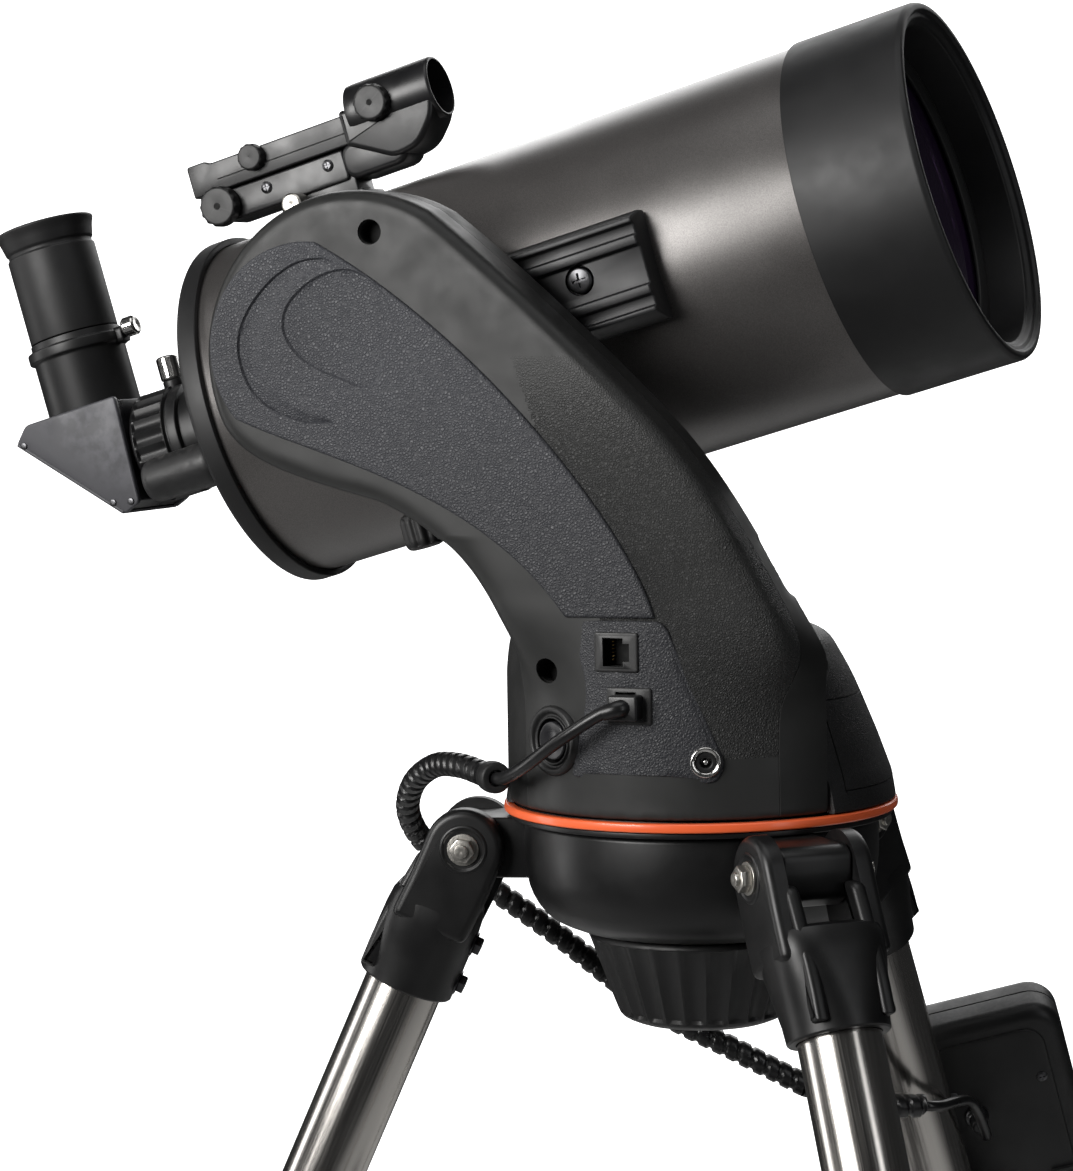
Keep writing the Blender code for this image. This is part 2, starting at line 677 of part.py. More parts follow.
def add_diagonal(tube):
    diagonal = add_frame("diagonal_axis", tube, SIDE)
    outline = [(-161.8, 25), (-207.5, 25), (-214.4, 18), (-172.5, -25), (-164, -22)]
    housing = add_piece("diagonal_housing", slab(outline, "Y", -25, 25), diagonal, black_plastic())
    axis = (EYEPIECE_AXIS, 0, 0)
    holder = [(0, 21), (HOLDER_RADIUS, 21), (HOLDER_RADIUS, 51.5), (22.6, 52), (22.6, HOLDER_TOP), (0, HOLDER_TOP)]
    join(housing, revolve(holder, centre=axis, segments=20))
    join(housing, rod(NOSE_RADIUS, -164, -136, "X", (0, 0, 0), COARSE))
    inside = [(-164.6, 22), (-203, 22), (-164.6, -17)]
    cut(housing, slab(inside, "Y", -18, 18))
    cut(housing, rod(16.25, 18, 62, "Z", axis, 20))
    cut(housing, rod(12.6, -167, -130, "X", (0, 0, 0), COARSE), "MANIFOLD")
    cut(housing, rod(2.2, -175, -155, "X", (0, 0, 54.6), SMALL), "MANIFOLD")
    prism = [(-165.2, 17.5), (-197.8, 17.5), (-165.2, -15.4)]
    add_piece("diagonal_prism", slab(prism, "Y", -14.5, 14.5), diagonal, glass())

    eyepiece = add_frame("eyepiece_slide", diagonal, (EYEPIECE_AXIS, 0, 0))
    profile = [(0, 26), (NOSE_RADIUS - 0.1, 26), (NOSE_RADIUS - 0.1, 58.3), (19.5, 58.3), (19.5, 101),
               (21.9, EYEPIECE_TOP), (20, EYEPIECE_TOP), (13, 99), (0, 99)]
    add_piece("eyepiece", revolve(profile, segments=24), eyepiece, black_metal())

    screw = add_frame("eyepiece_screw_axis", diagonal, (0, 0, 54.6))
    profile = [(0, -168.6), (1.9, -168.6), (1.9, -161.5), (4.8, -161.5), (4.8, -152.6), (0, -152.6)]
    add_piece("eyepiece_screw", revolve(profile, "X", segments=SMALL), screw, steel())
    clamp = add_frame("visual_back_screw_axis", tube, (-145, TUBE_SIDE, 0))
    profile = [(0, 16.9), (1.9, 16.9), (1.9, 26.5), (4.8, 26.5), (4.8, 37.2), (0, 37.2)]
    add_piece("visual_back_screw", revolve(profile, segments=SMALL), clamp, steel())


def add_finder(tube):
    foot = rounded_block((-72, TUBE_SIDE - 11, 72.9), (-29, TUBE_SIDE + 11, 84), 1.5, "X", 2)
    foot = add_piece("finder_foot", foot, tube, black_plastic())
    rail = [(-98, 83.2), (-34, 83.2), (-34, 94.6), (-101, 94.6), (-101, 92)]
    join(foot, slab(rail, "Y", TUBE_SIDE - 10.2, TUBE_SIDE + 10.2))
    cut(foot, rod(3.4, TUBE_SIDE - 12, TUBE_SIDE + 2, "Y", (-94, 0, 88.5), SMALL))

    tilt = add_frame("finder_tilt_axis", tube, (-33, TUBE_SIDE, 95))
    outline = [(-73, 0.4), (26, 0.4), (46, 7), (46, 13), (-63, 13), (-64, 14.5), (-73, 14.5)]
    body = add_piece("finder_body", slab(outline, "Y", -10.4, 10.4), tilt, black_plastic())
    join(body, rod(13.2, 3, 46, "X", (0, 0, 12.5), 20))
    join(body, rounded_block((8, -9.4, -14.5), (31, 9.4, 3), 5, "Y"))
    cut(body, rod(11.6, 0, 50, "X", (0, 0, 12.5), 20))
    brightness = add_frame("finder_switch_axis", tilt, (20, 0, 13))
    dial = revolve([(0, -17.6), (7.9, -17.6), (7.9, -13.6), (0, -13.6)], "Y", segments=16)
    add_piece("finder_switch", dial, brightness, black_plastic())
    knob = add_frame("finder_knob_axis", tube, (-94, TUBE_SIDE, 88.5))
    profile = [(0, -16.4), (8.7, -16.4), (8.7, -10.8), (3, -10.8), (3, -1), (0, -1)]
    add_piece("finder_tilt_knob", revolve(profile, "Y", segments=16), knob, black_plastic())


# ---------------------------------------------------------------- legs

def leg_turn(azimuth):
    """Leg frame: X outwards across the leg, Y along the hinge pin, Z up the leg."""
    return Matrix.Rotation(radians(azimuth), 3, "Z") @ Matrix.Rotation(-radians(LEG_SPREAD), 3, "Y")


def add_leg(letter, azimuth, mount):
    place = HINGE_RADIUS * direction(azimuth)
    leg = add_frame(f"leg_{letter}_hinge", mount, (place.x, place.y, HINGE_HEIGHT), leg_turn(azimuth))
    add_socket(letter, leg)
    add_leg_tube(letter, leg)
    add_extension(letter, leg)
    add_lock_knob(letter, leg)
    add_brace(letter, leg)
    return leg


def add_socket(letter, leg):
    axis = (LEG_OFFSET, 0, 0)
    body = rod(SOCKET_RADIUS, SOCKET_BOTTOM, -22, "Z", axis, 16)
    socket = add_piece(f"leg_{letter}_socket", body, leg, black_plastic())
    round_end = arc((0, 0), EAR_RADIUS, 0, 180, 6)
    outline = round_end + [(-14, -34), (20, -34)]
    for side in (-1, 1):
        low, high = sorted((side * (LUG_HALF_WIDTH + 0.35), side * EAR_OUTER))
        join(socket, slab(outline, "Y", low, high))
    join(socket, rod(3.2, -EAR_OUTER + 1, EAR_OUTER - 1, "Y", (0, 0, 0), SMALL))
    cut(socket, rod(LEG_TUBE_RADIUS + 0.5, SOCKET_BOTTOM - 5, LEG_TUBE_TOP + GAP, "Z", axis, 16))


def add_leg_tube(letter, leg):
    axis = (LEG_OFFSET, 0, 0)
    bore = LEG_TUBE_RADIUS - LEG_TUBE_WALL
    profile = [(bore, LEG_TUBE_TOP), (LEG_TUBE_RADIUS, LEG_TUBE_TOP), (LEG_TUBE_RADIUS, -592), (21, -594),
               (21, -638), (bore, -638)]
    tube = add_piece(f"leg_{letter}_tube", revolve(profile, "Z", axis, COARSE), leg, steel())
    join(tube, rod(8, LEG_OFFSET + 17, LEG_OFFSET + 28, "X", (0, 0, LOCK_HEIGHT), SMALL))
    cut(tube, rod(3.4, LEG_OFFSET + 10, LEG_OFFSET + 35, "X", (0, 0, LOCK_HEIGHT), 8))
    low = (BRACE_INSET - 6, -5, BRACE_HEIGHT - 8)
    high = (LEG_OFFSET - LEG_TUBE_RADIUS + 0.8, 5, BRACE_HEIGHT + 8)
    join(tube, block(low, high))
    cut(tube, rod(2.6, -10, 10, "Y", (BRACE_INSET, 0, BRACE_HEIGHT), 8))


def add_extension(letter, leg):
    """Lower leg with its foot, whose sole lies flat on the floor."""
    slide = add_frame(f"leg_{letter}_slide", leg)
    shape = bmesh.new()
    count = COARSE
    rings = []
    levels = ((EXTENSION_RADIUS - 1.5, -730), (EXTENSION_RADIUS - 1.5, EXTENSION_TOP),
              (EXTENSION_RADIUS, EXTENSION_TOP), (EXTENSION_RADIUS, -722), (15.5, -722), (15.5, EXTENSION_END))
    for radius, height in levels:
        ring = []
        for step in range(count):
            angle = 2 * pi * step / count
            point = (LEG_OFFSET + radius * cos(angle), radius * sin(angle), height)
            ring.append(shape.verts.new(point))
        rings.append(ring)
    spread = radians(LEG_SPREAD)
    sole = []
    for step in range(count):
        angle = 2 * pi * step / count
        across = FOOT_RADIUS * cos(angle)
        point = (LEG_OFFSET + across * cos(spread), FOOT_RADIUS * sin(angle), FOOT_END - across * sin(spread))
        sole.append(shape.verts.new(point))
    rings.append(sole)
    for here, there in zip(rings, rings[1:]):
        for step in range(count):
            after = (step + 1) % count
            shape.faces.new((here[step], here[after], there[after], there[step]))
    shape.faces.new(rings[0])
    shape.faces.new(sole)
    add_piece(f"leg_{letter}_extension", shape, slide, steel())


def add_lock_knob(letter, leg):
    frame = add_frame(f"leg_{letter}_lock_axis", leg, (LEG_OFFSET, 0, LOCK_HEIGHT))
    profile = [(0, 13.2), (2.9, 13.2), (2.9, 28.6), (12.5, 28.6), (12.5, 40), (0, 40)]
    knob = revolve(profile, "X", segments=SMALL, ribs=(3, 4), depth=1.8)
    add_piece(f"leg_{letter}_lock_knob", knob, frame, black_plastic())


def brace_geometry():
    """Brace length and the hub's height, from the pivot on the leg."""
    spread = radians(LEG_SPREAD)
    radius = HINGE_RADIUS + BRACE_INSET * cos(spread) - BRACE_HEIGHT * sin(spread)
    height = HINGE_HEIGHT + BRACE_INSET * sin(spread) + BRACE_HEIGHT * cos(spread)
    run = radius - HUB_PIVOT_RADIUS
    return run / cos(radians(BRACE_SLOPE)), height + run * tan(radians(BRACE_SLOPE))


def add_brace(letter, leg):
    """A bar from the leg's lug to the hub; it lies along -X of its own frame."""
    length, _ = brace_geometry()
    turn = Matrix.Rotation(radians(LEG_SPREAD) + radians(BRACE_SLOPE), 3, "Y")
    frame = add_frame(f"leg_{letter}_brace_axis", leg, (BRACE_INSET, 0, BRACE_HEIGHT), turn)
    brace = add_piece(f"leg_{letter}_brace", block((-length, -6, -2.5), (-13, 6, 2.5)), frame, black_metal())
    for side in (-1, 1):
        low, high = sorted((side * 5.5, side * 8.0))
        join(brace, block((-22, low, -6), (5, high, 6)))
    join(brace, block((-22, -8, -6), (-14, 8, 6)))
    join(brace, rod(2.1, -7, 7, "Y", (0, 0, 0), 8))


def add_brace_hub(mount):
    _, height = brace_geometry()
    slide = add_frame("brace_hub_slide", mount, (0, 0, height))
    outline = []
    for azimuth in LEG_AZIMUTHS.values():
        left = Vector((cos(radians(azimuth)), sin(radians(azimuth))))
        across = Vector((-left.y, left.x))
        for along, sideways in ((43, -7.4), (8, -7.4), (8, 7.4), (43, 7.4)):
            point = along * left + sideways * across
            outline.append(tuple(point))
        outline += arc((0, 0), 43.6, azimuth + 12, azimuth + 108, 6)
    hub = add_piece("brace_hub", slab(outline, "Z", -9, 7), slide, black_plastic())
    join(hub, rod(5, 0, 22, "Z", (0, 0, 0), SMALL))
    tray = [(5.4, 18), (88, 18), (92, 28), (90, 28), (86, 21), (5.4, 21)]
    tray = add_piece("accessory_tray", revolve(tray, segments=PLAIN), slide, black_plastic())
    for turn in (20, 140, 260):
        place = 56 * direction(turn)
        cut(tray, rod(16.2, 10, 30, "Z", (place.x, place.y, 0), COARSE))


# ---------------------------------------------------------------- hand controller

def controller_turn():
    """X across the controller, Y out of its keypad side, Z up its length."""
    spread = radians(LEG_SPREAD)
    down = Vector((*(sin(spread) * direction(LEG_AZIMUTHS["c"])).xy, -cos(spread)))
    across = Vector((0.93, 0.37, 0))
    across = (across - down * across.dot(down)).normalized()
    up = -down
    out = up.cross(across)
    return Matrix((across, out, up)).transposed()


def add_controller(leg, azimuth):
    """The holder rides on leg c; the controller lifts out of it."""
    width, depth, length = CONTROLLER_SIZE
    turn = controller_turn()
    centre = Vector(CONTROLLER_TOP) + turn @ Vector((0, 0, -length / 2))
    hinge = HINGE_RADIUS * direction(azimuth) + Vector((0, 0, HINGE_HEIGHT))
    to_leg = leg_turn(azimuth).transposed()
    holder = add_frame("controller_holder_frame", leg, to_leg @ (centre - hinge), to_leg @ turn)
    w, d, h = width / 2, depth / 2, length / 2
    cradle = rounded_block((-w - 4, -d - 4, -h - 5), (w + 4, d + 4, -h + 78), 3, "Z")
    cradle = add_piece("controller_holder", cradle, holder, black_plastic())
    cut(cradle, block((-w - 0.8, -d - 0.8, -h - 1), (w + 0.8, d + 0.8, h)))
    cut(cradle, block((-w + 8, d - 2, -h + 20), (w - 8, d + 9, h)))
    leg_axis = turn.transposed() @ (leg_line_point(azimuth) - centre)
    clamp = pipe(LEG_TUBE_RADIUS + 4.5, LEG_TUBE_RADIUS + 0.6, -30, 2, "Z", (leg_axis.x, leg_axis.y, 0), COARSE)
    join(cradle, clamp)
    strut = block((min(leg_axis.x, 0) - 2, leg_axis.y + LEG_TUBE_RADIUS + 2, -28), (leg_axis.x + 10, -d - 2, 0))
    join(cradle, strut)

    lift = add_frame("controller_lift", holder)
    body = rounded_block((-w, -d, -h), (w, d, h), 12, "Y", 4)
    body = add_piece("hand_controller", body, lift, black_plastic())
    cut(body, rounded_block((-w + 14, d - 4.5, -h + 26), (w - 14, d + 5, h - 62), 3, "Y"))
    keys = add_frame("keypad_travel", lift)
    pad = rounded_block((-w + 14.4, d - 2.4, -h + 26.4), (w - 14.4, d + 1.0, h - 62.4), 3, "Y")
    add_piece("keypad", pad, keys, rubber())


def add_cord(mount):
    """Cord from the arm's jack round the head, under it and up to the hand controller."""
    turn = controller_turn()
    plug = Vector(CONTROLLER_TOP) + turn @ Vector((-12, -CONTROLLER_SIZE[1] / 2 - 2, -46))
    lead = [(-1, -78.5, 46), (-9, -84, 44), (-27, -84, 33), (-44, -75, 22), (-60, -63, 15)]
    wrapped = [(-72, -50, 15), (-88, -36, 16), (-107, -17, 13), (-124, 0, 3), (-134, 17, -12), (-132, 33, -28),
               (-114, 46, -44), (-84, 56, -67), (-46, 63, -96), (-12, 73, -115), (14, 86, -131), (38, 102, -141)]
    tail = [(62, 124, -144), (69, 148, -148), tuple(plug + turn @ Vector((3, -12, -2))), tuple(plug)]
    knots = [(*p, 2.5) for p in lead] + [(*p, 4.3) for p in wrapped] + [(*p, 2.0) for p in tail]
    add_piece("control_cord", swept_tube(smooth_path(knots, 2)), mount, black_plastic())


def leg_line_point(azimuth):
    """A point on the leg tube's axis, level with the controller."""
    spread = radians(LEG_SPREAD)
    along = 190.0
    radius = HINGE_RADIUS + LEG_OFFSET * cos(spread) + along * sin(spread)
    point = radius * direction(azimuth)
    return Vector((point.x, point.y, HINGE_HEIGHT + LEG_OFFSET * sin(spread) - along * cos(spread)))


def main():
    clear_scene()
    mount = add_frame("mount_frame", None, MOUNT_ORIGIN)
    add_tripod_head(mount)
    add_mount_knob(mount)
    arm = add_frame("azimuth_axis", mount)
    add_arm(arm)
    add_drive_base(arm)
    add_arm_drives(arm)
    add_switch(arm)
    lift = Matrix.Rotation(-radians(TUBE_TILT), 3, "Y")
    tube = add_frame("altitude_axis", arm, (ALTITUDE_AXIS[0], 0, ALTITUDE_AXIS[1]), lift)
    add_tube_assembly(tube)
    add_focuser(tube)
    add_diagonal(tube)
    add_finder(tube)
    for letter, azimuth in LEG_AZIMUTHS.items():
        leg = add_leg(letter, azimuth, mount)
        if letter == "c":
            add_controller(leg, azimuth)
    add_brace_hub(mount)
    add_cord(mount)


main()
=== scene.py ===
"""Looks of the single-arm telescope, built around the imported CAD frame.

Shapes are drawn in millimetres in the frame of the joint they belong to, and each piece's
matrix takes them to the row frame in metres.
"""

import json
from math import atan2, copysign, cos, degrees, pi, radians, sin, sqrt

import bmesh
import bpy
from mathutils import Matrix, Vector
from mathutils.geometry import delaunay_2d_cdt

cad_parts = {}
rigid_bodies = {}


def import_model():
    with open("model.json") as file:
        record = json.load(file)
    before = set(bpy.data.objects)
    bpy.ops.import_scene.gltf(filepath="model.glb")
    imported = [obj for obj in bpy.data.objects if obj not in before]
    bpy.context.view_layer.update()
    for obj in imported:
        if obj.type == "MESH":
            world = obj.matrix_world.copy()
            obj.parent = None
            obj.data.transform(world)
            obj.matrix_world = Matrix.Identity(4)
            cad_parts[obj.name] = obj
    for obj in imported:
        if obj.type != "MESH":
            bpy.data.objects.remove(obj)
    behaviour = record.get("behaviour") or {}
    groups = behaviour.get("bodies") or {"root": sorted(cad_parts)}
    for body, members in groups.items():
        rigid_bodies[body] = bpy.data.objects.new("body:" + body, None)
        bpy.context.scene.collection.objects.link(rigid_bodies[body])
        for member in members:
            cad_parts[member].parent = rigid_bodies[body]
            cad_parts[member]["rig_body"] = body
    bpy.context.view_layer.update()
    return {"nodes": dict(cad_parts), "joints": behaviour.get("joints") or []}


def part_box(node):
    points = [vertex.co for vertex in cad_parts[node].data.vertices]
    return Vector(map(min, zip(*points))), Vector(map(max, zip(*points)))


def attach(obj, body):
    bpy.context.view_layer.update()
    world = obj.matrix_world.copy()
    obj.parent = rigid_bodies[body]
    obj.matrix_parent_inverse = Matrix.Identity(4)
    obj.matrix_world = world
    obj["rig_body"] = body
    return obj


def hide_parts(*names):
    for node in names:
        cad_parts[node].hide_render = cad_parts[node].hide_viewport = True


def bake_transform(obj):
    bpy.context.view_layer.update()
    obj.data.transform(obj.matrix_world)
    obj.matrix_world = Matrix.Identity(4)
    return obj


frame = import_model()

MM = 0.001
JOINTS = {joint["name"]: joint for joint in frame["joints"]}


# ---------------------------------------------------------------- frames

def placing(origin, x, y, z):
    """Matrix from millimetres in a local frame to metres in the row frame."""
    turn = Matrix((Vector(x), Vector(y), Vector(z))).transposed() * MM
    matrix = turn.to_4x4()
    matrix.translation = Vector(origin)
    return matrix


def joint_axis(name):
    return Vector(JOINTS[name]["axis"]).normalized()


def joint_place(name):
    return Vector(JOINTS[name]["pos_m"])


def box_centre(node):
    low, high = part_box(node)
    return (low + high) / 2


UP = Vector((0, 0, 1))
ACROSS = Vector((0, 1, 0))
MOUNT = placing(joint_place("azimuth"), (1, 0, 0), ACROSS, UP)
TUBE_AXIS = joint_axis("diagonal_turn")
TUBE = placing(joint_place("diagonal_turn"), TUBE_AXIS, ACROSS, TUBE_AXIS.cross(ACROSS))
FINDER = placing(joint_place("finder_tilt"), TUBE_AXIS, ACROSS, TUBE_AXIS.cross(ACROSS))
HUB = placing((*joint_place("azimuth").xy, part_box("brace_hub")[0].z + 9 * MM), (1, 0, 0), ACROSS, UP)


def leg_placing(letter):
    """X outwards across the leg, Y along the hinge pin, Z up the leg."""
    up = -joint_axis(f"leg_{letter}_extend")
    pin = joint_axis(f"leg_{letter}_fold")
    return placing(joint_place(f"leg_{letter}_fold"), pin.cross(up), pin, up)


LEGS = {letter: leg_placing(letter) for letter in "abc"}
LIFT = joint_axis("controller_lift")
KEYS_OUT = -joint_axis("keypad_travel")
CONTROLLER = placing(box_centre("hand_controller"), KEYS_OUT.cross(LIFT), KEYS_OUT, LIFT)


def local(matrix, node):
    """A node's lowest and highest corners in a local frame, in millimetres."""
    inverse = matrix.inverted()
    points = [inverse @ vertex.co for vertex in frame["nodes"][node].data.vertices]
    low = Vector(min(p[i] for p in points) for i in range(3))
    high = Vector(max(p[i] for p in points) for i in range(3))
    return low, high


# ---------------------------------------------------------------- outlines

def arc(centre, radius, start, end, steps):
    """Points along a circular arc, ends included, angles in degrees."""
    points = []
    for step in range(steps + 1):
        angle = radians(start + (end - start) * step / steps)
        points.append((centre[0] + radius * cos(angle), centre[1] + radius * sin(angle)))
    return points


def spline(points, steps=6, closed=False):
    """A smooth curve through points of any dimension."""
    knots = [Vector(point) for point in points]
    count = len(knots)
    spans = count if closed else count - 1
    path = [] if closed else [knots[0]]
    for index in range(spans):
        if closed:
            before, here = knots[index - 1], knots[index]
            there, after = knots[(index + 1) % count], knots[(index + 2) % count]
        else:
            before, here = knots[max(index - 1, 0)], knots[index]
            there, after = knots[index + 1], knots[min(index + 2, count - 1)]
        for step in range(1, steps + 1):
            t = step / steps
            path.append(0.5 * (2 * here + (there - before) * t
                               + (2 * before - 5 * here + 4 * there - after) * t ** 2
                               + (3 * here - before - 3 * there + after) * t ** 3))
    return path


def rounded(points, radius=1.0, steps=4, closed=True):
    """A polyline with rounded corners; a point's third value is its own radius."""
    flat = [Vector(point[:2]) for point in points]
    radii = [point[2] if len(point) > 2 else radius for point in points]
    path = []
    for index, here in enumerate(flat):
        ends = not closed and index in (0, len(flat) - 1)
        if ends or radii[index] <= 0:
            path.append(tuple(here))
            continue
        before, after = flat[index - 1], flat[(index + 1) % len(flat)]
        reach = min(radii[index], 0.45 * (before - here).length, 0.45 * (after - here).length)
        start = here + (before - here).normalized() * reach
        end = here + (after - here).normalized() * reach
        for step in range(steps + 1):
            t = step / steps
            point = start * (1 - t) ** 2 + here * 2 * t * (1 - t) + end * t * t
            path.append(tuple(point))
    return path


def inset(outline, distance):
    """An outline moved inwards by a distance; the outline runs anticlockwise."""
    moved = []
    count = len(outline)
    for index in range(count):
        before, here = Vector(outline[index - 1][:2]), Vector(outline[index][:2])
        after = Vector(outline[(index + 1) % count][:2])
        first, second = (here - before).normalized(), (after - here).normalized()
        normal = Vector((-first.y - second.y, first.x + second.x))
        if normal.length < 1e-6:
            normal = Vector((-first.y, first.x))
        normal.normalize()
        stretch = max(0.6, normal.dot(Vector((-first.y, first.x))))
        moved.append(tuple(here + normal * distance / stretch))
    return moved


def anticlockwise(outline):
    area = 0.0
    for (x0, y0), (x1, y1) in zip(outline, outline[1:] + outline[:1]):
        area += x0 * y1 - x1 * y0
    return outline if area > 0 else outline[::-1]


def rectangle(low, high, radius, steps=4):
    """Anticlockwise rectangle with round corners."""
    (a0, b0), (a1, b1) = low, high
    points = arc((a1 - radius, b1 - radius), radius, 0, 90, steps)
    points += arc((a0 + radius, b1 - radius), radius, 90, 180, steps)
    points += arc((a0 + radius, b0 + radius), radius, 180, 270, steps)
    points += arc((a1 - radius, b0 + radius), radius, 270, 360, steps)
    return points


def circle(centre, radius, steps=32):
    return arc(centre, radius, 0, 360, steps)[:-1]


# ---------------------------------------------------------------- solids

AXES = {
    "Z": lambda a, b, h: (a, b, h),
    "X": lambda a, b, h: (h, a, b),
    "Y": lambda a, b, h: (b, h, a),
}
PLANES = {
    "Z": lambda a, b, h: (a, b, h),
    "Y": lambda a, b, h: (a, h, b),
    "X": lambda a, b, h: (h, a, b),
}


def bridge(shape, rings, closed_loop=True, close_ends=True):
    """Joins rings of equal length, with a cap on each end."""
    count = len(rings[0])
    for here, there in zip(rings, rings[1:]):
        for index in range(count if closed_loop else count - 1):
            after = (index + 1) % count
            corners = list(dict.fromkeys((here[index], here[after], there[after], there[index])))
            if len(corners) > 2:
                shape.faces.new(corners)
    if close_ends:
        shape.faces.new(rings[0])
        shape.faces.new(rings[-1])
    return shape


def turned(profile, axis="Z", centre=(0, 0, 0), segments=96, radius=0.6, wave=None, start=0.0, sweep=360.0):
    """Turns a closed (radius, height) profile with rounded corners about an axis.

    wave(angle, radius, height) gives a new radius, for ribs and grips.
    """
    shape = bmesh.new()
    profile = rounded(profile, radius, 3)
    full = sweep >= 360
    steps = segments if full else segments + 1
    rings = []
    for step in range(steps):
        angle = radians(start + sweep * step / segments)
        ring = []
        for index, (r, h) in enumerate(profile):
            if r < 1e-4 and rings:
                ring.append(rings[0][index])
                continue
            reach = wave(angle, r, h) if wave else r
            point = Vector(AXES[axis](reach * cos(angle), reach * sin(angle), h))
            ring.append(shape.verts.new(point + Vector(centre)))
        rings.append(ring)
    if full:
        rings.append(rings[0])
    return bridge(shape, rings, close_ends=not full)


def plate(outline, axis, low, high, edge=0.6, steps=3, both=True):
    """A flat piece between two heights, with rounded edges on its faces."""
    shape = bmesh.new()
    outline = anticlockwise([tuple(point[:2]) for point in outline])
    top, bottom = [], []
    for step in range(steps + 1):
        angle = pi / 2 * step / steps
        shift, drop = edge * (1 - cos(angle)), edge * (1 - sin(angle))
        top.append((shift, high - drop))
        bottom.append((shift, low + drop) if both else (0.0, low))
    if not both:
        bottom = bottom[:1]
    rings = []
    for shift, height in list(reversed(bottom)) + top:
        points = inset(outline, shift) if shift else outline
        rings.append([shape.verts.new(PLANES[axis](a, b, height)) for a, b in points])
    return bridge(shape, rings)


def box(low, high, axis="Y", corner=1.0, edge=0.6):
    """A box with round corners across the axis and rounded edges on its ends."""
    order = {"Z": (0, 1, 2), "Y": (0, 2, 1), "X": (1, 2, 0)}[axis]
    a0, b0, h0 = (low[i] for i in order)
    a1, b1, h1 = (high[i] for i in order)
    return plate(rectangle((a0, b0), (a1, b1), corner), axis, h0, h1, edge)


def sweep(points, sides=12):
    """A round cord through (x, y, z, radius) points."""
    shape = bmesh.new()
    side = Vector((0, 0, 1))
    rings = []
    for index, point in enumerate(points):
        ahead = points[min(index + 1, len(points) - 1)].xyz - points[max(index - 1, 0)].xyz
        ahead.normalize()
        side = (side - ahead * side.dot(ahead)).normalized()
        across = ahead.cross(side)
        rings.append([shape.verts.new(point.xyz + point.w * (cos(2 * pi * k / sides) * side
                                                             + sin(2 * pi * k / sides) * across))
                      for k in range(sides)])
    return bridge(shape, rings)


def merged(*shapes):
    """Several shapes in one mesh."""
    first = shapes[0]
    for other in shapes[1:]:
        mesh = bpy.data.meshes.new("part")
        other.to_mesh(mesh)
        other.free()
        first.from_mesh(mesh)
        bpy.data.meshes.remove(mesh)
    return first


def moved(shape, matrix):
    bmesh.ops.transform(shape, matrix=matrix, verts=shape.verts)
    return shape


def sheet(outline, lift, thickness, holes=(), spacing=4.0, edge=0.8, relief=None, guides=(), place=None):
    """A thin moulded panel over the (x, z) outline.

    place(x, z, height) puts a point at a height above the surface that the panel lies on.
    relief(x, z) adds to the height, guides are loops that keep its edges crisp, and holes are
    outlines left open.
    """
    outline = anticlockwise([tuple(point[:2]) for point in outline])
    loops = [inset(outline, edge * share) for share in (0, 0.13, 0.5, 1.0, 2.2)]
    points, edges = [], []

    def add_loop(loop):
        first = len(points)
        points.extend(Vector(point[:2]) for point in loop)
        edges.extend((first + k, first + (k + 1) % len(loop)) for k in range(len(loop)))

    for loop in [*loops, *guides]:
        add_loop(loop)
    for hole in holes:
        add_loop(hole)
        add_loop(inset(anticlockwise(list(hole)), -0.5))
    xs, zs = [p[0] for p in outline], [p[1] for p in outline]
    columns, rows = int((max(xs) - min(xs)) / spacing), int((max(zs) - min(zs)) / spacing)
    guard = [Vector(p) for loop in [loops[-1], *holes] for p in loop]
    for column in range(1, columns):
        for row in range(1, rows):
            shift = spacing * 0.5 * (row % 2)
            point = Vector((min(xs) + column * spacing + shift, min(zs) + row * spacing))
            if inside(point, loops[-1]) and not any(inside(point, hole) for hole in holes):
                if min((point - other).length for other in guard) > spacing * 0.45:
                    points.append(point)
    flat, _, faces, *_ = delaunay_2d_cdt(points, edges, [], 1, 1e-5)
    shape = bmesh.new()
    top = []
    for point in flat:
        depth = distance_to(point, outline)
        height = lift + thickness - edge + edge * sqrt(max(0.0, 1 - (1 - min(depth / edge, 1.0)) ** 2))
        if relief:
            height += relief(point.x, point.y)
        top.append(shape.verts.new(place(point.x, point.y, height)))
    for face in faces:
        middle = sum((flat[k] for k in face), Vector((0, 0))) / len(face)
        if not any(inside(middle, hole) for hole in holes):
            shape.faces.new([top[k] for k in face])
    rims = [e for e in shape.edges if e.is_boundary]
    grown = bmesh.ops.extrude_edge_only(shape, edges=rims)
    inverse = {vertex: index for index, vertex in enumerate(top)}
    for vertex in [g for g in grown["geom"] if isinstance(g, bmesh.types.BMVert)]:
        origin = [e.other_vert(vertex) for e in vertex.link_edges if e.other_vert(vertex) in inverse]
        point = flat[inverse[origin[0]]]
        vertex.co = Vector(place(point.x, point.y, lift))
    return shape


def inside(point, outline):
    """Whether a point lies inside an outline."""
    result = False
    for (x0, y0), (x1, y1) in zip(outline, outline[1:] + outline[:1]):
        if (y0 > point.y) != (y1 > point.y):
            if point.x < (x1 - x0) * (point.y - y0) / (y1 - y0) + x0:
                result = not result
    return result


def distance_to(point, outline):
    """Distance from a point to an outline's nearest edge."""
    best = 1e9
    for a, b in zip(outline, outline[1:] + outline[:1]):
        start, end = Vector(a), Vector(b)
        span = end - start
        t = max(0.0, min(1.0, (point - start).dot(span) / max(span.length_squared, 1e-9)))
        best = min(best, (point - start - span * t).length)
    return best


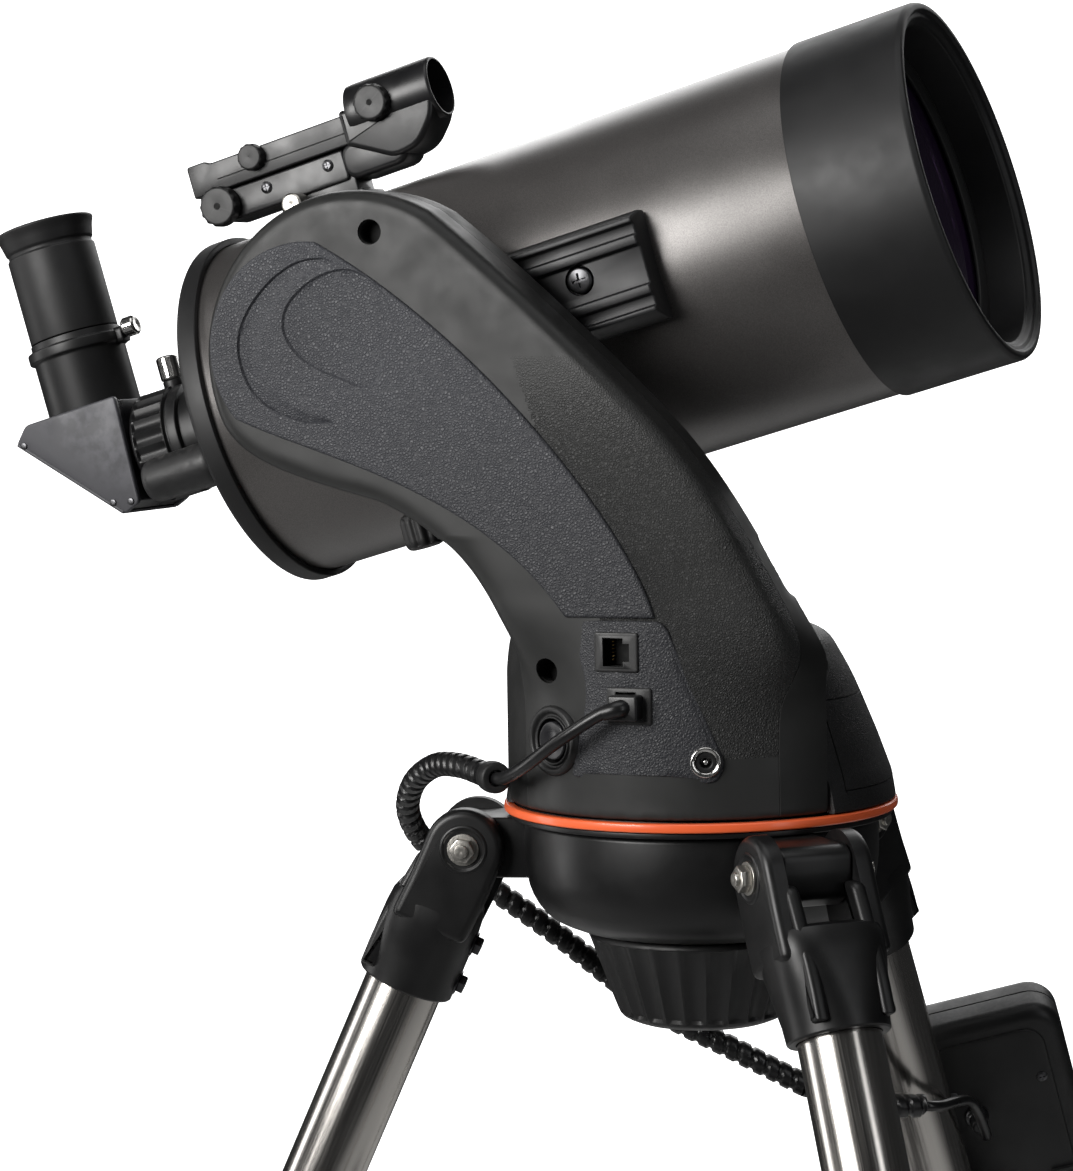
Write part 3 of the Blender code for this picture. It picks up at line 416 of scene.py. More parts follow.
def piece(name, shape, place, body, finish, nodes=(), smooth=32):
    """Turns a shape in millimetres into a finished object that rides on a body."""
    bmesh.ops.remove_doubles(shape, verts=shape.verts, dist=0.0005)
    bmesh.ops.recalc_face_normals(shape, faces=shape.faces)
    bmesh.ops.transform(shape, matrix=place, verts=shape.verts)
    mesh = bpy.data.meshes.new(name)
    shape.to_mesh(mesh)
    shape.free()
    mesh.shade_smooth()
    mesh.set_sharp_from_angle(angle=radians(smooth))
    made = bpy.data.objects.new(name, mesh)
    bpy.context.scene.collection.objects.link(made)
    mesh.materials.append(finish)
    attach(made, body)
    if nodes:
        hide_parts(*nodes)
    return made


# ---------------------------------------------------------------- materials

class Finish:
    """A Principled material with helpers for its procedural nodes, in millimetres."""

    def __init__(self, name, colour, roughness, metallic=0.0, **sockets):
        self.material = bpy.data.materials.new(name)
        self.material.use_nodes = True
        self.tree = self.material.node_tree
        self.shader = self.tree.nodes["Principled BSDF"]
        self.colour = colour
        self.shader.inputs["Base Color"].default_value = (*colour, 1)
        self.shader.inputs["Roughness"].default_value = roughness
        self.shader.inputs["Metallic"].default_value = metallic
        for socket, value in sockets.items():
            self.shader.inputs[socket.replace("_", " ")].default_value = value
        self.bump_output = None

    def node(self, kind, **settings):
        made = self.tree.nodes.new(kind)
        for key, value in settings.items():
            setattr(made, key, value)
        return made

    def link(self, output, target):
        self.tree.links.new(output, target)

    def coordinates(self, turn=None, stretch=(1, 1, 1)):
        """Object coordinates in millimetres, turned and stretched."""
        place = self.node("ShaderNodeTexCoord")
        mapping = self.node("ShaderNodeMapping", vector_type="TEXTURE")
        mapping.inputs["Scale"].default_value = [MM * value for value in stretch]
        if turn:
            mapping.inputs["Rotation"].default_value = turn.to_euler()
        self.link(place.outputs["Object"], mapping.inputs["Vector"])
        return mapping.outputs["Vector"]

    def noise(self, size, detail=4.0, vector=None):
        """Fractal noise whose largest features are size millimetres across."""
        made = self.node("ShaderNodeTexNoise")
        made.inputs["Scale"].default_value = 1.0 / size
        made.inputs["Detail"].default_value = detail
        self.link(vector or self.coordinates(), made.inputs["Vector"])
        return made.outputs["Fac"]

    def ramp(self, value, low, high, out_low=0.0, out_high=1.0):
        made = self.node("ShaderNodeMapRange")
        made.inputs["From Min"].default_value = low
        made.inputs["From Max"].default_value = high
        made.inputs["To Min"].default_value = out_low
        made.inputs["To Max"].default_value = out_high
        self.link(value, made.inputs["Value"])
        return made.outputs["Result"]

    def mix(self, amount, first, second):
        """A colour mix; first and second are colours or outputs."""
        made = self.node("ShaderNodeMix", data_type="RGBA")
        self.link(amount, made.inputs["Factor"])
        for socket, value in ((6, first), (7, second)):
            if isinstance(value, tuple):
                made.inputs[socket].default_value = (*value, 1)
            else:
                self.link(value, made.inputs[socket])
        return made.outputs[2]

    def tint(self, amount, colour):
        """Mixes another colour over the present one."""
        socket = self.shader.inputs["Base Color"]
        present = socket.links[0].from_socket if socket.is_linked else self.colour
        self.link(self.mix(amount, present, colour), socket)
        return self

    def vary(self, size=30.0, share=0.15):
        """Soft clouds of lighter and darker colour."""
        lighter = tuple(min(1.0, c * (1 + share)) for c in self.colour)
        darker = tuple(c * (1 - share) for c in self.colour)
        clouds = self.ramp(self.noise(size), 0.3, 0.7)
        self.link(self.mix(clouds, darker, lighter), self.shader.inputs["Base Color"])
        return self

    def climb(self, start, end):
        """Goes from 0 to 1 between two heights in metres."""
        level = self.node("ShaderNodeSeparateXYZ")
        self.link(self.node("ShaderNodeTexCoord").outputs["Object"], level.inputs["Vector"])
        return self.ramp(level.outputs["Z"], start, end)

    def paint_height_shade(self, start, end):
        """Paints shade into the colour, darkening it gradually from one height to another."""
        return self.tint(self.climb(start, end), tuple(c * 0.6 for c in self.colour))

    def roughen(self, low, high, size=6.0):
        """Roughness that drifts between two values."""
        patch = self.noise(size, 6.0)
        self.link(self.ramp(patch, 0.32, 0.68, low, high), self.shader.inputs["Roughness"])
        return self

    def bump(self, height, depth):
        """Adds bump; depth is in millimetres."""
        made = self.node("ShaderNodeBump")
        made.inputs["Distance"].default_value = depth * MM
        self.link(height, made.inputs["Height"])
        if self.bump_output:
            self.link(self.bump_output, made.inputs["Normal"])
        self.bump_output = made.outputs["Normal"]
        self.link(self.bump_output, self.shader.inputs["Normal"])
        return self

    def wear(self, colour, low=0.53, high=0.62, share=0.6):
        """Rubbed convex edges."""
        shape = self.node("ShaderNodeNewGeometry")
        edges = self.ramp(shape.outputs["Pointiness"], low, high, 0.0, share)
        patchy = self.node("ShaderNodeMath", operation="MULTIPLY")
        self.link(edges, patchy.inputs[0])
        self.link(self.ramp(self.noise(5.0), 0.4, 0.62), patchy.inputs[1])
        return self.tint(patchy.outputs["Value"], colour)

    def dust(self, share=0.25):
        """A trace of pale dust on faces that look up."""
        shape = self.node("ShaderNodeNewGeometry")
        split = self.node("ShaderNodeSeparateXYZ")
        self.link(shape.outputs["Normal"], split.inputs["Vector"])
        upward = self.ramp(split.outputs["Z"], 0.6, 1.0, 0.0, share)
        patchy = self.node("ShaderNodeMath", operation="MULTIPLY")
        self.link(upward, patchy.inputs[0])
        self.link(self.ramp(self.noise(2.0, 8.0), 0.45, 0.75), patchy.inputs[1])
        return self.tint(patchy.outputs["Value"], (0.25, 0.24, 0.23))


ARM_SPECULAR = 0.28                # the arm's two finishes meet on one surface, so they share it


def moulded(name, colour, roughness, grain=0.5, depth=0.02, painted_shade=None):
    """Injection-moulded plastic with a fine spark-eroded surface, with painted shade that may darken its
    colour between two heights.
    """
    made = Finish(name, colour, roughness)
    made.vary(45.0, 0.12).roughen(roughness - 0.06, roughness + 0.07, 12.0)
    made.bump(made.noise(grain, 3.0), depth)
    if painted_shade:
        # painted shade: the colour darkens between the two heights
        made.paint_height_shade(*painted_shade)
        made.shader.inputs["Specular IOR Level"].default_value = ARM_SPECULAR
    else:
        made.wear(tuple(min(1.0, c * 2.2 + 0.01) for c in colour))
    made.dust(0.12)
    return made.material


def leather_grain(name, colour, roughness=0.5, cell=1.15, depth=0.11, fade=None, painted_shade=None):
    """Moulded plastic with a raised leather-like pebble, which may fade out between two heights; painted
    shade darkens the crevices between pebbles and may darken the colour between two heights.
    """
    made = Finish(name, colour, roughness)
    made.vary(50.0, 0.12)
    plain = made.coordinates()
    bend = made.node("ShaderNodeVectorMath", operation="ADD")
    shift = made.node("ShaderNodeTexNoise")
    shift.inputs["Scale"].default_value = 0.6 / cell
    made.link(plain, shift.inputs["Vector"])
    made.link(plain, bend.inputs[0])
    made.link(shift.outputs["Color"], bend.inputs[1])
    pebbles = made.node("ShaderNodeTexVoronoi", feature="DISTANCE_TO_EDGE")
    pebbles.inputs["Scale"].default_value = 1.0 / cell
    made.link(bend.outputs["Vector"], pebbles.inputs["Vector"])
    height = made.ramp(pebbles.outputs["Distance"], 0.0, 0.32)
    if fade:
        faded = made.node("ShaderNodeMix", data_type="FLOAT")
        made.link(made.climb(*fade), faded.inputs["Factor"])
        made.link(height, faded.inputs["A"])
        faded.inputs["B"].default_value = 1.0
        height = faded.outputs["Result"]
        made.shader.inputs["Specular IOR Level"].default_value = ARM_SPECULAR
    made.bump(height, depth)
    made.bump(made.noise(0.25, 3.0), 0.012)
    made.link(made.ramp(height, 0.0, 1.0, roughness + 0.16, roughness - 0.04),
              made.shader.inputs["Roughness"])
    if painted_shade:
        # painted shade: the colour darkens between the two heights
        made.paint_height_shade(*painted_shade)
    # painted shade: the crevices between the pebbles are darkened
    made.tint(made.ramp(height, 0.25, 0.0, 0.0, 0.55), tuple(c * 0.45 for c in colour))
    made.dust(0.10)
    return made.material


def painted(name, colour, roughness, metallic=0.0, orange_peel=0.006, coat=0.0):
    """Sprayed paint with a slight orange peel."""
    made = Finish(name, colour, roughness, metallic, Coat_Weight=coat, Coat_Roughness=0.12)
    made.vary(70.0, 0.08).roughen(roughness - 0.04, roughness + 0.05, 15.0)
    made.bump(made.noise(2.4, 2.0), orange_peel)
    made.bump(made.noise(0.2, 2.0), 0.004)
    made.wear(tuple(min(1.0, c * 2.5 + 0.03) for c in colour), 0.54, 0.64, 0.5)
    return made.material


def tube_paint():
    """Warm dark-grey metallic: fine flakes under a satin coat."""
    base = (0.114, 0.108, 0.105)
    made = Finish("tube_metallic", base, 0.36, 0.68, Coat_Weight=0.25, Coat_Roughness=0.3)
    flakes = made.node("ShaderNodeTexVoronoi", feature="F1")
    flakes.inputs["Scale"].default_value = 1.0 / 0.16
    made.link(made.coordinates(), flakes.inputs["Vector"])
    bright = made.node("ShaderNodeSeparateColor")
    made.link(flakes.outputs["Color"], bright.inputs["Color"])
    made.link(made.mix(made.ramp(bright.outputs["Red"], 0.0, 1.0), tuple(c * 0.72 for c in base),
                       tuple(c * 1.34 for c in base)), made.shader.inputs["Base Color"])
    made.roughen(0.33, 0.41, 30.0)
    made.bump(made.noise(3.0, 2.0), 0.004)
    return made.material


def machined(name, colour, roughness, turn=None, stretch=(1, 1, 60), depth=0.003):
    """Bare metal with fine lines drawn along the stretched axis."""
    made = Finish(name, colour, roughness, 1.0)
    lines = made.coordinates(turn, stretch)
    streaks = made.noise(0.5, 5.0, lines)
    made.link(made.mix(made.ramp(streaks, 0.3, 0.7), tuple(c * 0.86 for c in colour),
                       tuple(min(1.0, c * 1.08) for c in colour)), made.shader.inputs["Base Color"])
    made.link(made.ramp(streaks, 0.3, 0.7, roughness - 0.05, roughness + 0.07),
              made.shader.inputs["Roughness"])
    made.bump(streaks, depth)
    made.tint(made.ramp(made.noise(25.0), 0.5, 0.8, 0.0, 0.12), tuple(c * 0.7 for c in colour))
    return made.material


def rubbery(name, colour, roughness=0.75):
    made = Finish(name, colour, roughness)
    made.vary(8.0, 0.2).roughen(roughness - 0.08, roughness + 0.08, 3.0)
    made.bump(made.noise(0.35, 4.0), 0.03)
    made.dust(0.3)
    return made.material


def coated_glass():
    """Meniscus corrector with a violet antireflection coating."""
    made = Finish("corrector_coating", (0.055, 0.035, 0.075), 0.03, 0.0,
                  Transmission_Weight=0.72, IOR=1.5, Coat_Weight=0.6, Coat_Roughness=0.02)
    facing = made.node("ShaderNodeLayerWeight")
    facing.inputs["Blend"].default_value = 0.35
    made.link(made.mix(made.ramp(facing.outputs["Facing"], 0.2, 0.9), (0.10, 0.05, 0.13), (0.06, 0.05, 0.11)),
              made.shader.inputs["Base Color"])
    made.roughen(0.02, 0.05, 20.0)
    return made.material


def clear_glass():
    made = Finish("clear_glass", (0.86, 0.92, 0.9), 0.02, 0.0, Transmission_Weight=1.0, IOR=1.52)
    made.roughen(0.01, 0.03, 10.0)
    return made.material


BASE_HEIGHT = joint_place("azimuth").z
# Heights for painted shade on the arm: the first pair darkens the colour towards the top and also fades the
# band's pebble out there, the second darkens the panels' colour towards the bottom.
SHADE_AND_FADE_RISING = (BASE_HEIGHT + 0.100, BASE_HEIGHT + 0.185)
SHADE_SINKING = (BASE_HEIGHT + 0.165, BASE_HEIGHT + 0.085)
ARM = moulded("arm_satin", (0.0290, 0.0294, 0.0290), 0.42, 0.45, 0.006, SHADE_AND_FADE_RISING)
BAND = leather_grain("arm_band_grain", (0.0290, 0.0294, 0.0290), 0.46, 1.0, 0.30, SHADE_AND_FADE_RISING, SHADE_AND_FADE_RISING)
INNER = moulded("arm_inner_satin", (0.0175, 0.0177, 0.0175), 0.48, 0.5, 0.01, SHADE_AND_FADE_RISING)
GRAIN = leather_grain("panel_leather_grain", (0.0330, 0.0345, 0.0410), 0.46, 1.15, 0.16, None, SHADE_SINKING)
BASE = leather_grain("base_fine_grain", (0.0065, 0.0065, 0.007), 0.46, 1.0, 0.08)
CELL = painted("cell_satin_black", (0.0070, 0.0070, 0.0075), 0.52, 0.1)
BACK = painted("back_black", (0.008, 0.008, 0.0085), 0.42, 0.1)
HEAD = painted("casting_black", (0.0060, 0.0060, 0.0063), 0.38, 0.1, 0.02)
SADDLE = painted("saddle_black", (0.013, 0.013, 0.014), 0.42, 0.2, 0.008)
KNOB = moulded("knob_black", (0.0075, 0.0075, 0.0078), 0.48, 0.4, 0.02)
FINDER_BLACK = moulded("finder_black", (0.0065, 0.0065, 0.0072), 0.36, 0.35, 0.008)
PRISM_BLACK = moulded("prism_housing_black", (0.010, 0.010, 0.012), 0.32, 0.6, 0.008)
PRISM_GREY = moulded("prism_plate_grey", (0.052, 0.052, 0.059), 0.5, 0.5, 0.01)
CORD = moulded("cord_vinyl", (0.0065, 0.0065, 0.007), 0.32, 0.6, 0.008)
CONTROLLER_BLACK = moulded("controller_black", (0.0075, 0.0075, 0.008), 0.48, 0.4, 0.015)
RUBBER = rubbery("black_rubber", (0.010, 0.010, 0.010))
GREY_RUBBER = rubbery("grey_rubber_grip", (0.011, 0.011, 0.0115), 0.5)
VOID = painted("flat_black", (0.003, 0.003, 0.003), 0.85)
ORANGE = painted("orange_ring", (0.95, 0.150, 0.045), 0.34, 0.0, 0.008, 0.3)
PAINT = tube_paint()
CHROME = machined("bright_plate", (0.72, 0.71, 0.69), 0.18, None, (1, 1, 8), depth=0.0008)
NUT_STEEL = machined("nut_plate", (0.56, 0.54, 0.50), 0.33, None, (1, 1, 3), depth=0.0006)
STEEL_DARK = machined("dark_screw_steel", (0.10, 0.10, 0.105), 0.32, None, (1, 1, 4), depth=0.001)
BRASS = machined("cut_brass", (0.62, 0.43, 0.17), 0.28, None, (1, 1, 6))
LENS = coated_glass()
GLASS = clear_glass()
LEG_STEEL = {letter: machined(f"leg_{letter}_stainless", (0.60, 0.575, 0.545), 0.2,
                              LEGS[letter].to_3x3().normalized(), (1, 1, 80)) for letter in "abc"}

# ---------------------------------------------------------------- arm and drive base

ARM_FRONT = -74.0
ARM_BACK = -38.0
ARM_SPLIT = -56.0
ARM_END_CENTRE = (-114.0, 179.0)
ARM_END_RADIUS = 63.5
BASE_RADIUS = 76.0
WAIST_PASSES = 90                 # smoothing passes that melt the arm into the base
WAIST = 84.0                      # the flat arm blends into the round base below this height
BASE_LOW = 2.4
PANEL_RADIUS = 75.7
ALTITUDE_PLACE = MOUNT.inverted() @ joint_place("altitude")
SWITCH_PLACE = MOUNT.inverted() @ joint_place("power_switch_rock")


def bezier(p0, p1, p2, p3, steps):
    """Points along a cubic curve, without its first point."""
    points = []
    for step in range(1, steps + 1):
        t = step / steps
        weights = ((1 - t) ** 3, 3 * t * (1 - t) ** 2, 3 * t * t * (1 - t), t ** 3)
        x = sum(w * p[0] for w, p in zip(weights, (p0, p1, p2, p3)))
        y = sum(w * p[1] for w, p in zip(weights, (p0, p1, p2, p3)))
        points.append((x, y))
    return points


GRAIN_EDGE, GRAIN_SLANT = -13, 0.35     # the grained band lies to the right of this slanted line
GRAIN_LOW, GRAIN_HIGH = 26, 178


def arm_outline():
    """Arm plate in (x, z), anticlockwise from the waist's right side."""
    right = bezier((66, 62), (50, 90), (33, 126), (8, 152.6), 14)
    top = bezier((8, 152.6), (-20, 181), (-56, 214), (-82, 234), 14)
    end = arc(ARM_END_CENTRE, ARM_END_RADIUS, 62, 205, 40)
    belly = bezier(end[-1], (-163, 136), (-135, 130), (-105, 122), 12)
    under = bezier((-105, 122), (-82, 112), (-56, 92), (-54, 58), 16)
    return [(66, 62)] + right + top + end[1:] + belly + under


def clip_above(outline, level):
    """The part of an outline above a level."""
    kept = []
    for (x0, z0), (x1, z1) in zip(outline, outline[1:] + outline[:1]):
        if z0 >= level:
            kept.append((x0, z0))
        if (z0 >= level) != (z1 >= level):
            share = (level - z0) / (z1 - z0)
            kept.append((x0 + (x1 - x0) * share, level))
    return kept


def width_at(outline, level):
    """Lowest and highest x where a level crosses an outline."""
    crossings = []
    for (x0, z0), (x1, z1) in zip(outline, outline[1:] + outline[:1]):
        if (z0 >= level) != (z1 >= level):
            crossings.append(x0 + (x1 - x0) * (level - z0) / (z1 - z0))
    return min(crossings), max(crossings)


def smoothstep(value):
    value = max(0.0, min(1.0, value))
    return value * value * (3 - 2 * value)


def arm_root(outline, rows=30, columns=44):
    """Blend from the round base up to the flat arm's section."""
    shape = bmesh.new()
    rings = []
    for row in range(rows + 1):
        z = BASE_LOW + (WAIST + 1.5 - BASE_LOW) * row / rows
        left, right = width_at(outline, max(z, 62.5))
        flat = smoothstep((z - 42) / (WAIST - 44))
        start = 210 + flat * (degrees(atan2(ARM_BACK, left)) + 360 - 210)
        end = 337 + flat * (degrees(atan2(ARM_BACK, right)) + 360 - 337)
        ring = []
        for column in range(columns + 1):
            angle = radians(start + (end - start) * column / columns)
            side = left if cos(angle) < 0 else right
            walls = (abs(ARM_FRONT / sin(angle)), abs(side / cos(angle)) if abs(cos(angle)) > 1e-3 else 1e6)
            plate_reach = sum(w ** -24 for w in walls) ** (-1 / 24)
            reach = BASE_RADIUS + (plate_reach - BASE_RADIUS) * flat
            ring.append((reach * cos(angle), min(reach * sin(angle), ARM_BACK)))
        back = [(ring[-1][0] + (ring[0][0] - ring[-1][0]) * k / 10, ARM_BACK) for k in range(1, 10)]
        rings.append([shape.verts.new((x, y, z)) for x, y in ring + back])
    return bridge(shape, rings)


def evaluated(shape, *modifiers):
    """A shape after modifiers given as (kind, settings)."""
    bmesh.ops.recalc_face_normals(shape, faces=shape.faces)
    mesh = bpy.data.meshes.new("working")
    shape.to_mesh(mesh)
    shape.free()
    holder = bpy.data.objects.new("working", mesh)
    bpy.context.scene.collection.objects.link(holder)
    for kind, settings in modifiers:
        modifier = holder.modifiers.new(kind.lower(), kind)
        for key, value in settings.items():
            setattr(modifier, key, value)
    bpy.context.view_layer.update()
    result = bmesh.new()
    result.from_mesh(holder.evaluated_get(bpy.context.evaluated_depsgraph_get()).to_mesh())
    bpy.data.objects.remove(holder)
    bpy.data.meshes.remove(mesh)
    return result


def drilled(shape, *cutters, tangled=False):
    """A shape with other closed shapes cut out of it; a tangled one is made of overlapping solids."""
    for cutter in cutters:
        bmesh.ops.recalc_face_normals(cutter, faces=cutter.faces)
        mesh = bpy.data.meshes.new("cutter")
        cutter.to_mesh(mesh)
        cutter.free()
        tool = bpy.data.objects.new("cutter", mesh)
        bpy.context.scene.collection.objects.link(tool)
        shape = evaluated(shape, ("BOOLEAN", {"object": tool, "operation": "DIFFERENCE",
                                              "use_self": tangled}))
        bpy.data.objects.remove(tool)
        bpy.data.meshes.remove(mesh)
    return shape


def half(shape, at, keep_low):
    """The part of a shape on one side of a plane across Y, closed."""
    everything = shape.verts[:] + shape.edges[:] + shape.faces[:]
    cut = bmesh.ops.bisect_plane(shape, geom=everything, plane_co=(0, at, 0), plane_no=(0, 1, 0),
                                 clear_outer=keep_low, clear_inner=not keep_low)
    rim = [g for g in cut["geom_cut"] if isinstance(g, bmesh.types.BMEdge)]
    bmesh.ops.edgeloop_fill(shape, edges=rim)
    return shape


def radial(azimuth, height, radius=0.0):
    """Frame whose X points out from the azimuth axis, at a height and radius."""
    turn = Matrix.Rotation(radians(azimuth), 4, "Z")
    return turn @ Matrix.Translation((radius, 0, height))


AUX_JACK = ((-15, 58.7), (3, 73.8))
HAND_JACK = ((-10, 39), (8, 53))
POWER_JACK = (27, 25)
SCREW_HOLES = ((-105, 226, 9.0), (-37, 58, 17.0))


def on_base(x, z, height=0.0):
    """A point on the port panel's cylinder."""
    radius = PANEL_RADIUS + height
    return (x, -sqrt(radius ** 2 - x ** 2), z)


def add_arm():
    outline = arm_outline()
    upper = plate(clip_above(outline, WAIST), "Y", ARM_FRONT, ARM_BACK, 6.0, 5)
    wing = turned([(56, BASE_LOW), (BASE_RADIUS, BASE_LOW), (75.8, 54), (74.6, 66, 8), (70, 78, 10),
                   (56, 86)], segments=40, radius=0.5, start=190.5, sweep=42)
    solid = merged(upper, arm_root(outline), wing)
    solid = evaluated(solid, ("REMESH", {"mode": "VOXEL", "voxel_size": 1.15}),
                      ("SMOOTH", {"factor": 0.5, "iterations": 10}))
    waist = [v for v in solid.verts if v.co.z < WAIST + 24 and v.co.y < ARM_BACK - 2
             and (v.co.z > WAIST - 46 or (v.co.z > BASE_LOW + 3 and v.co.x > 0))]
    for _ in range(WAIST_PASSES):
        bmesh.ops.smooth_vert(solid, verts=waist, factor=0.5, use_axis_x=True, use_axis_y=True,
                              use_axis_z=True)
    outer = half(solid.copy(), ARM_SPLIT - 0.25, True)
    inner = half(solid, ARM_SPLIT + 0.05, False)
    cutters = [box((low[0] + 2, ARM_FRONT - 6, low[1] + 2), (high[0] - 2, ARM_FRONT + 11, high[1] - 2), "Y",
                   1.0, 0) for low, high in (AUX_JACK, HAND_JACK)]
    for x, z, deep in SCREW_HOLES:
        cutters.append(turned([(0, ARM_FRONT - 9), (4.9, ARM_FRONT - 9), (4.9, ARM_FRONT + deep),
                               (0, ARM_FRONT + deep)], "Y", (x, 0, z), 32, 0))
    cutters.append(moved(turned([(0, -9), (9.3, -9), (9.3, 9), (0, 9)], "X", segments=48, radius=0),
                         radial(242, SWITCH_PLACE.z, 75)))
    cutters.append(moved(turned([(0, -9), (5.2, -9), (5.2, 9), (0, 9)], "X", segments=32, radius=0),
                         radial(degrees(atan2(-71, POWER_JACK[0])), POWER_JACK[1], 76)))
    outer = drilled(outer, *cutters)
    cover = piece("arm_outer_cover", outer, MOUNT, "fork_arm", ARM, ["arm_outer_shell"])
    cover.data.materials.append(BAND)
    to_mount = MOUNT.inverted()
    for face in cover.data.polygons:
        middle = to_mount @ face.center
        if middle.x > GRAIN_EDGE + GRAIN_SLANT * (79 - middle.z) and GRAIN_LOW < middle.z < GRAIN_HIGH:
            face.material_index = 1
    bore = turned([(0, ARM_BACK - 12), (14, ARM_BACK - 12), (14, ARM_BACK + 4), (0, ARM_BACK + 4)], "Y",
                  (ALTITUDE_PLACE.x, 0, ALTITUDE_PLACE.z), 64, 0)
    piece("arm_inner_cover", drilled(inner, bore), MOUNT, "fork_arm", INNER, ["arm_inner_shell"])


def panel_outline():
    """Leather-grain panel on the arm's outer face."""
    end = arc((-133, 182), 41, 83, 222, 26)
    under = bezier(end[-1], (-128, 139), (-62, 128), (-27, 79), 22)
    right = bezier((9, 79), (0, 112), (-60, 186), end[0], 26)
    return [(9, 79)] + right[:-1] + end + under[:-1] + [(-27, 79)]


def add_cover_panel():
    outline = panel_outline()
    drop = spline([(-113, 212), (-128, 209), (-140, 199), (-142, 188), (-134, 177), (-119, 170),
                   (-106, 166.5), (-98, 178), (-95, 191), (-100, 204)], 5, True)
    drop = anticlockwise([tuple(p) for p in drop])
    far = spline([(-115.5, 213.4), (-124.5, 216.6), (-137.8, 214.4), (-151, 204.8), (-160.1, 191.5),
                  (-161.6, 179), (-156.6, 165.8), (-146.2, 157.3), (-133.7, 153.1), (-121, 152.8)], 5)
    near = spline([(-122.5, 154.2), (-130.7, 156), (-141.8, 161), (-149.8, 170.6), (-152.3, 184.1),
                   (-145.7, 198.5), (-132.4, 209.2), (-117.0, 212.2)], 5)
    far, near = [tuple(p) for p in far], [tuple(p) for p in near]
    crescent = anticlockwise(far + near)

    def relief(x, z):
        point = Vector((x, z))
        if inside(point, drop):
            return -0.85 * smoothstep(distance_to(point, drop) / 0.8)
        if inside(point, crescent):
            edge = distance_to(point, crescent) * smoothstep((point - Vector(far[0])).length / 14)
            outer = min((point - Vector(p)).length for p in far)
            inner = min((point - Vector(p)).length for p in near)
            return -1.15 * smoothstep(edge / 0.7) * (0.25 + 0.75 * inner / (outer + inner))
        return 0.0

    guides = [drop, inset(drop, 0.4), inset(drop, 0.8), crescent, inset(crescent, 0.7)]
    panel = sheet(outline, 0.0, 1.3, spacing=2.6, edge=1.1, relief=relief, guides=guides,
                  place=lambda x, z, h: (x, ARM_FRONT - 0.25 - h, z))
    piece("arm_grain_panel", panel, MOUNT, "fork_arm", GRAIN, ["arm_cover_panel"], 40)
    for number, (x, z, deep) in enumerate(SCREW_HOLES, 1):
        well = turned([(0, deep - 0.2), (4.8, deep - 0.2), (4.8, deep - 8), (4.6, deep - 8),
                       (4.6, deep - 1), (0, deep - 1)], "Y", (x, ARM_FRONT, z), 32, 0)
        piece(f"arm_screw_well_{number}", well, MOUNT, "fork_arm", VOID)


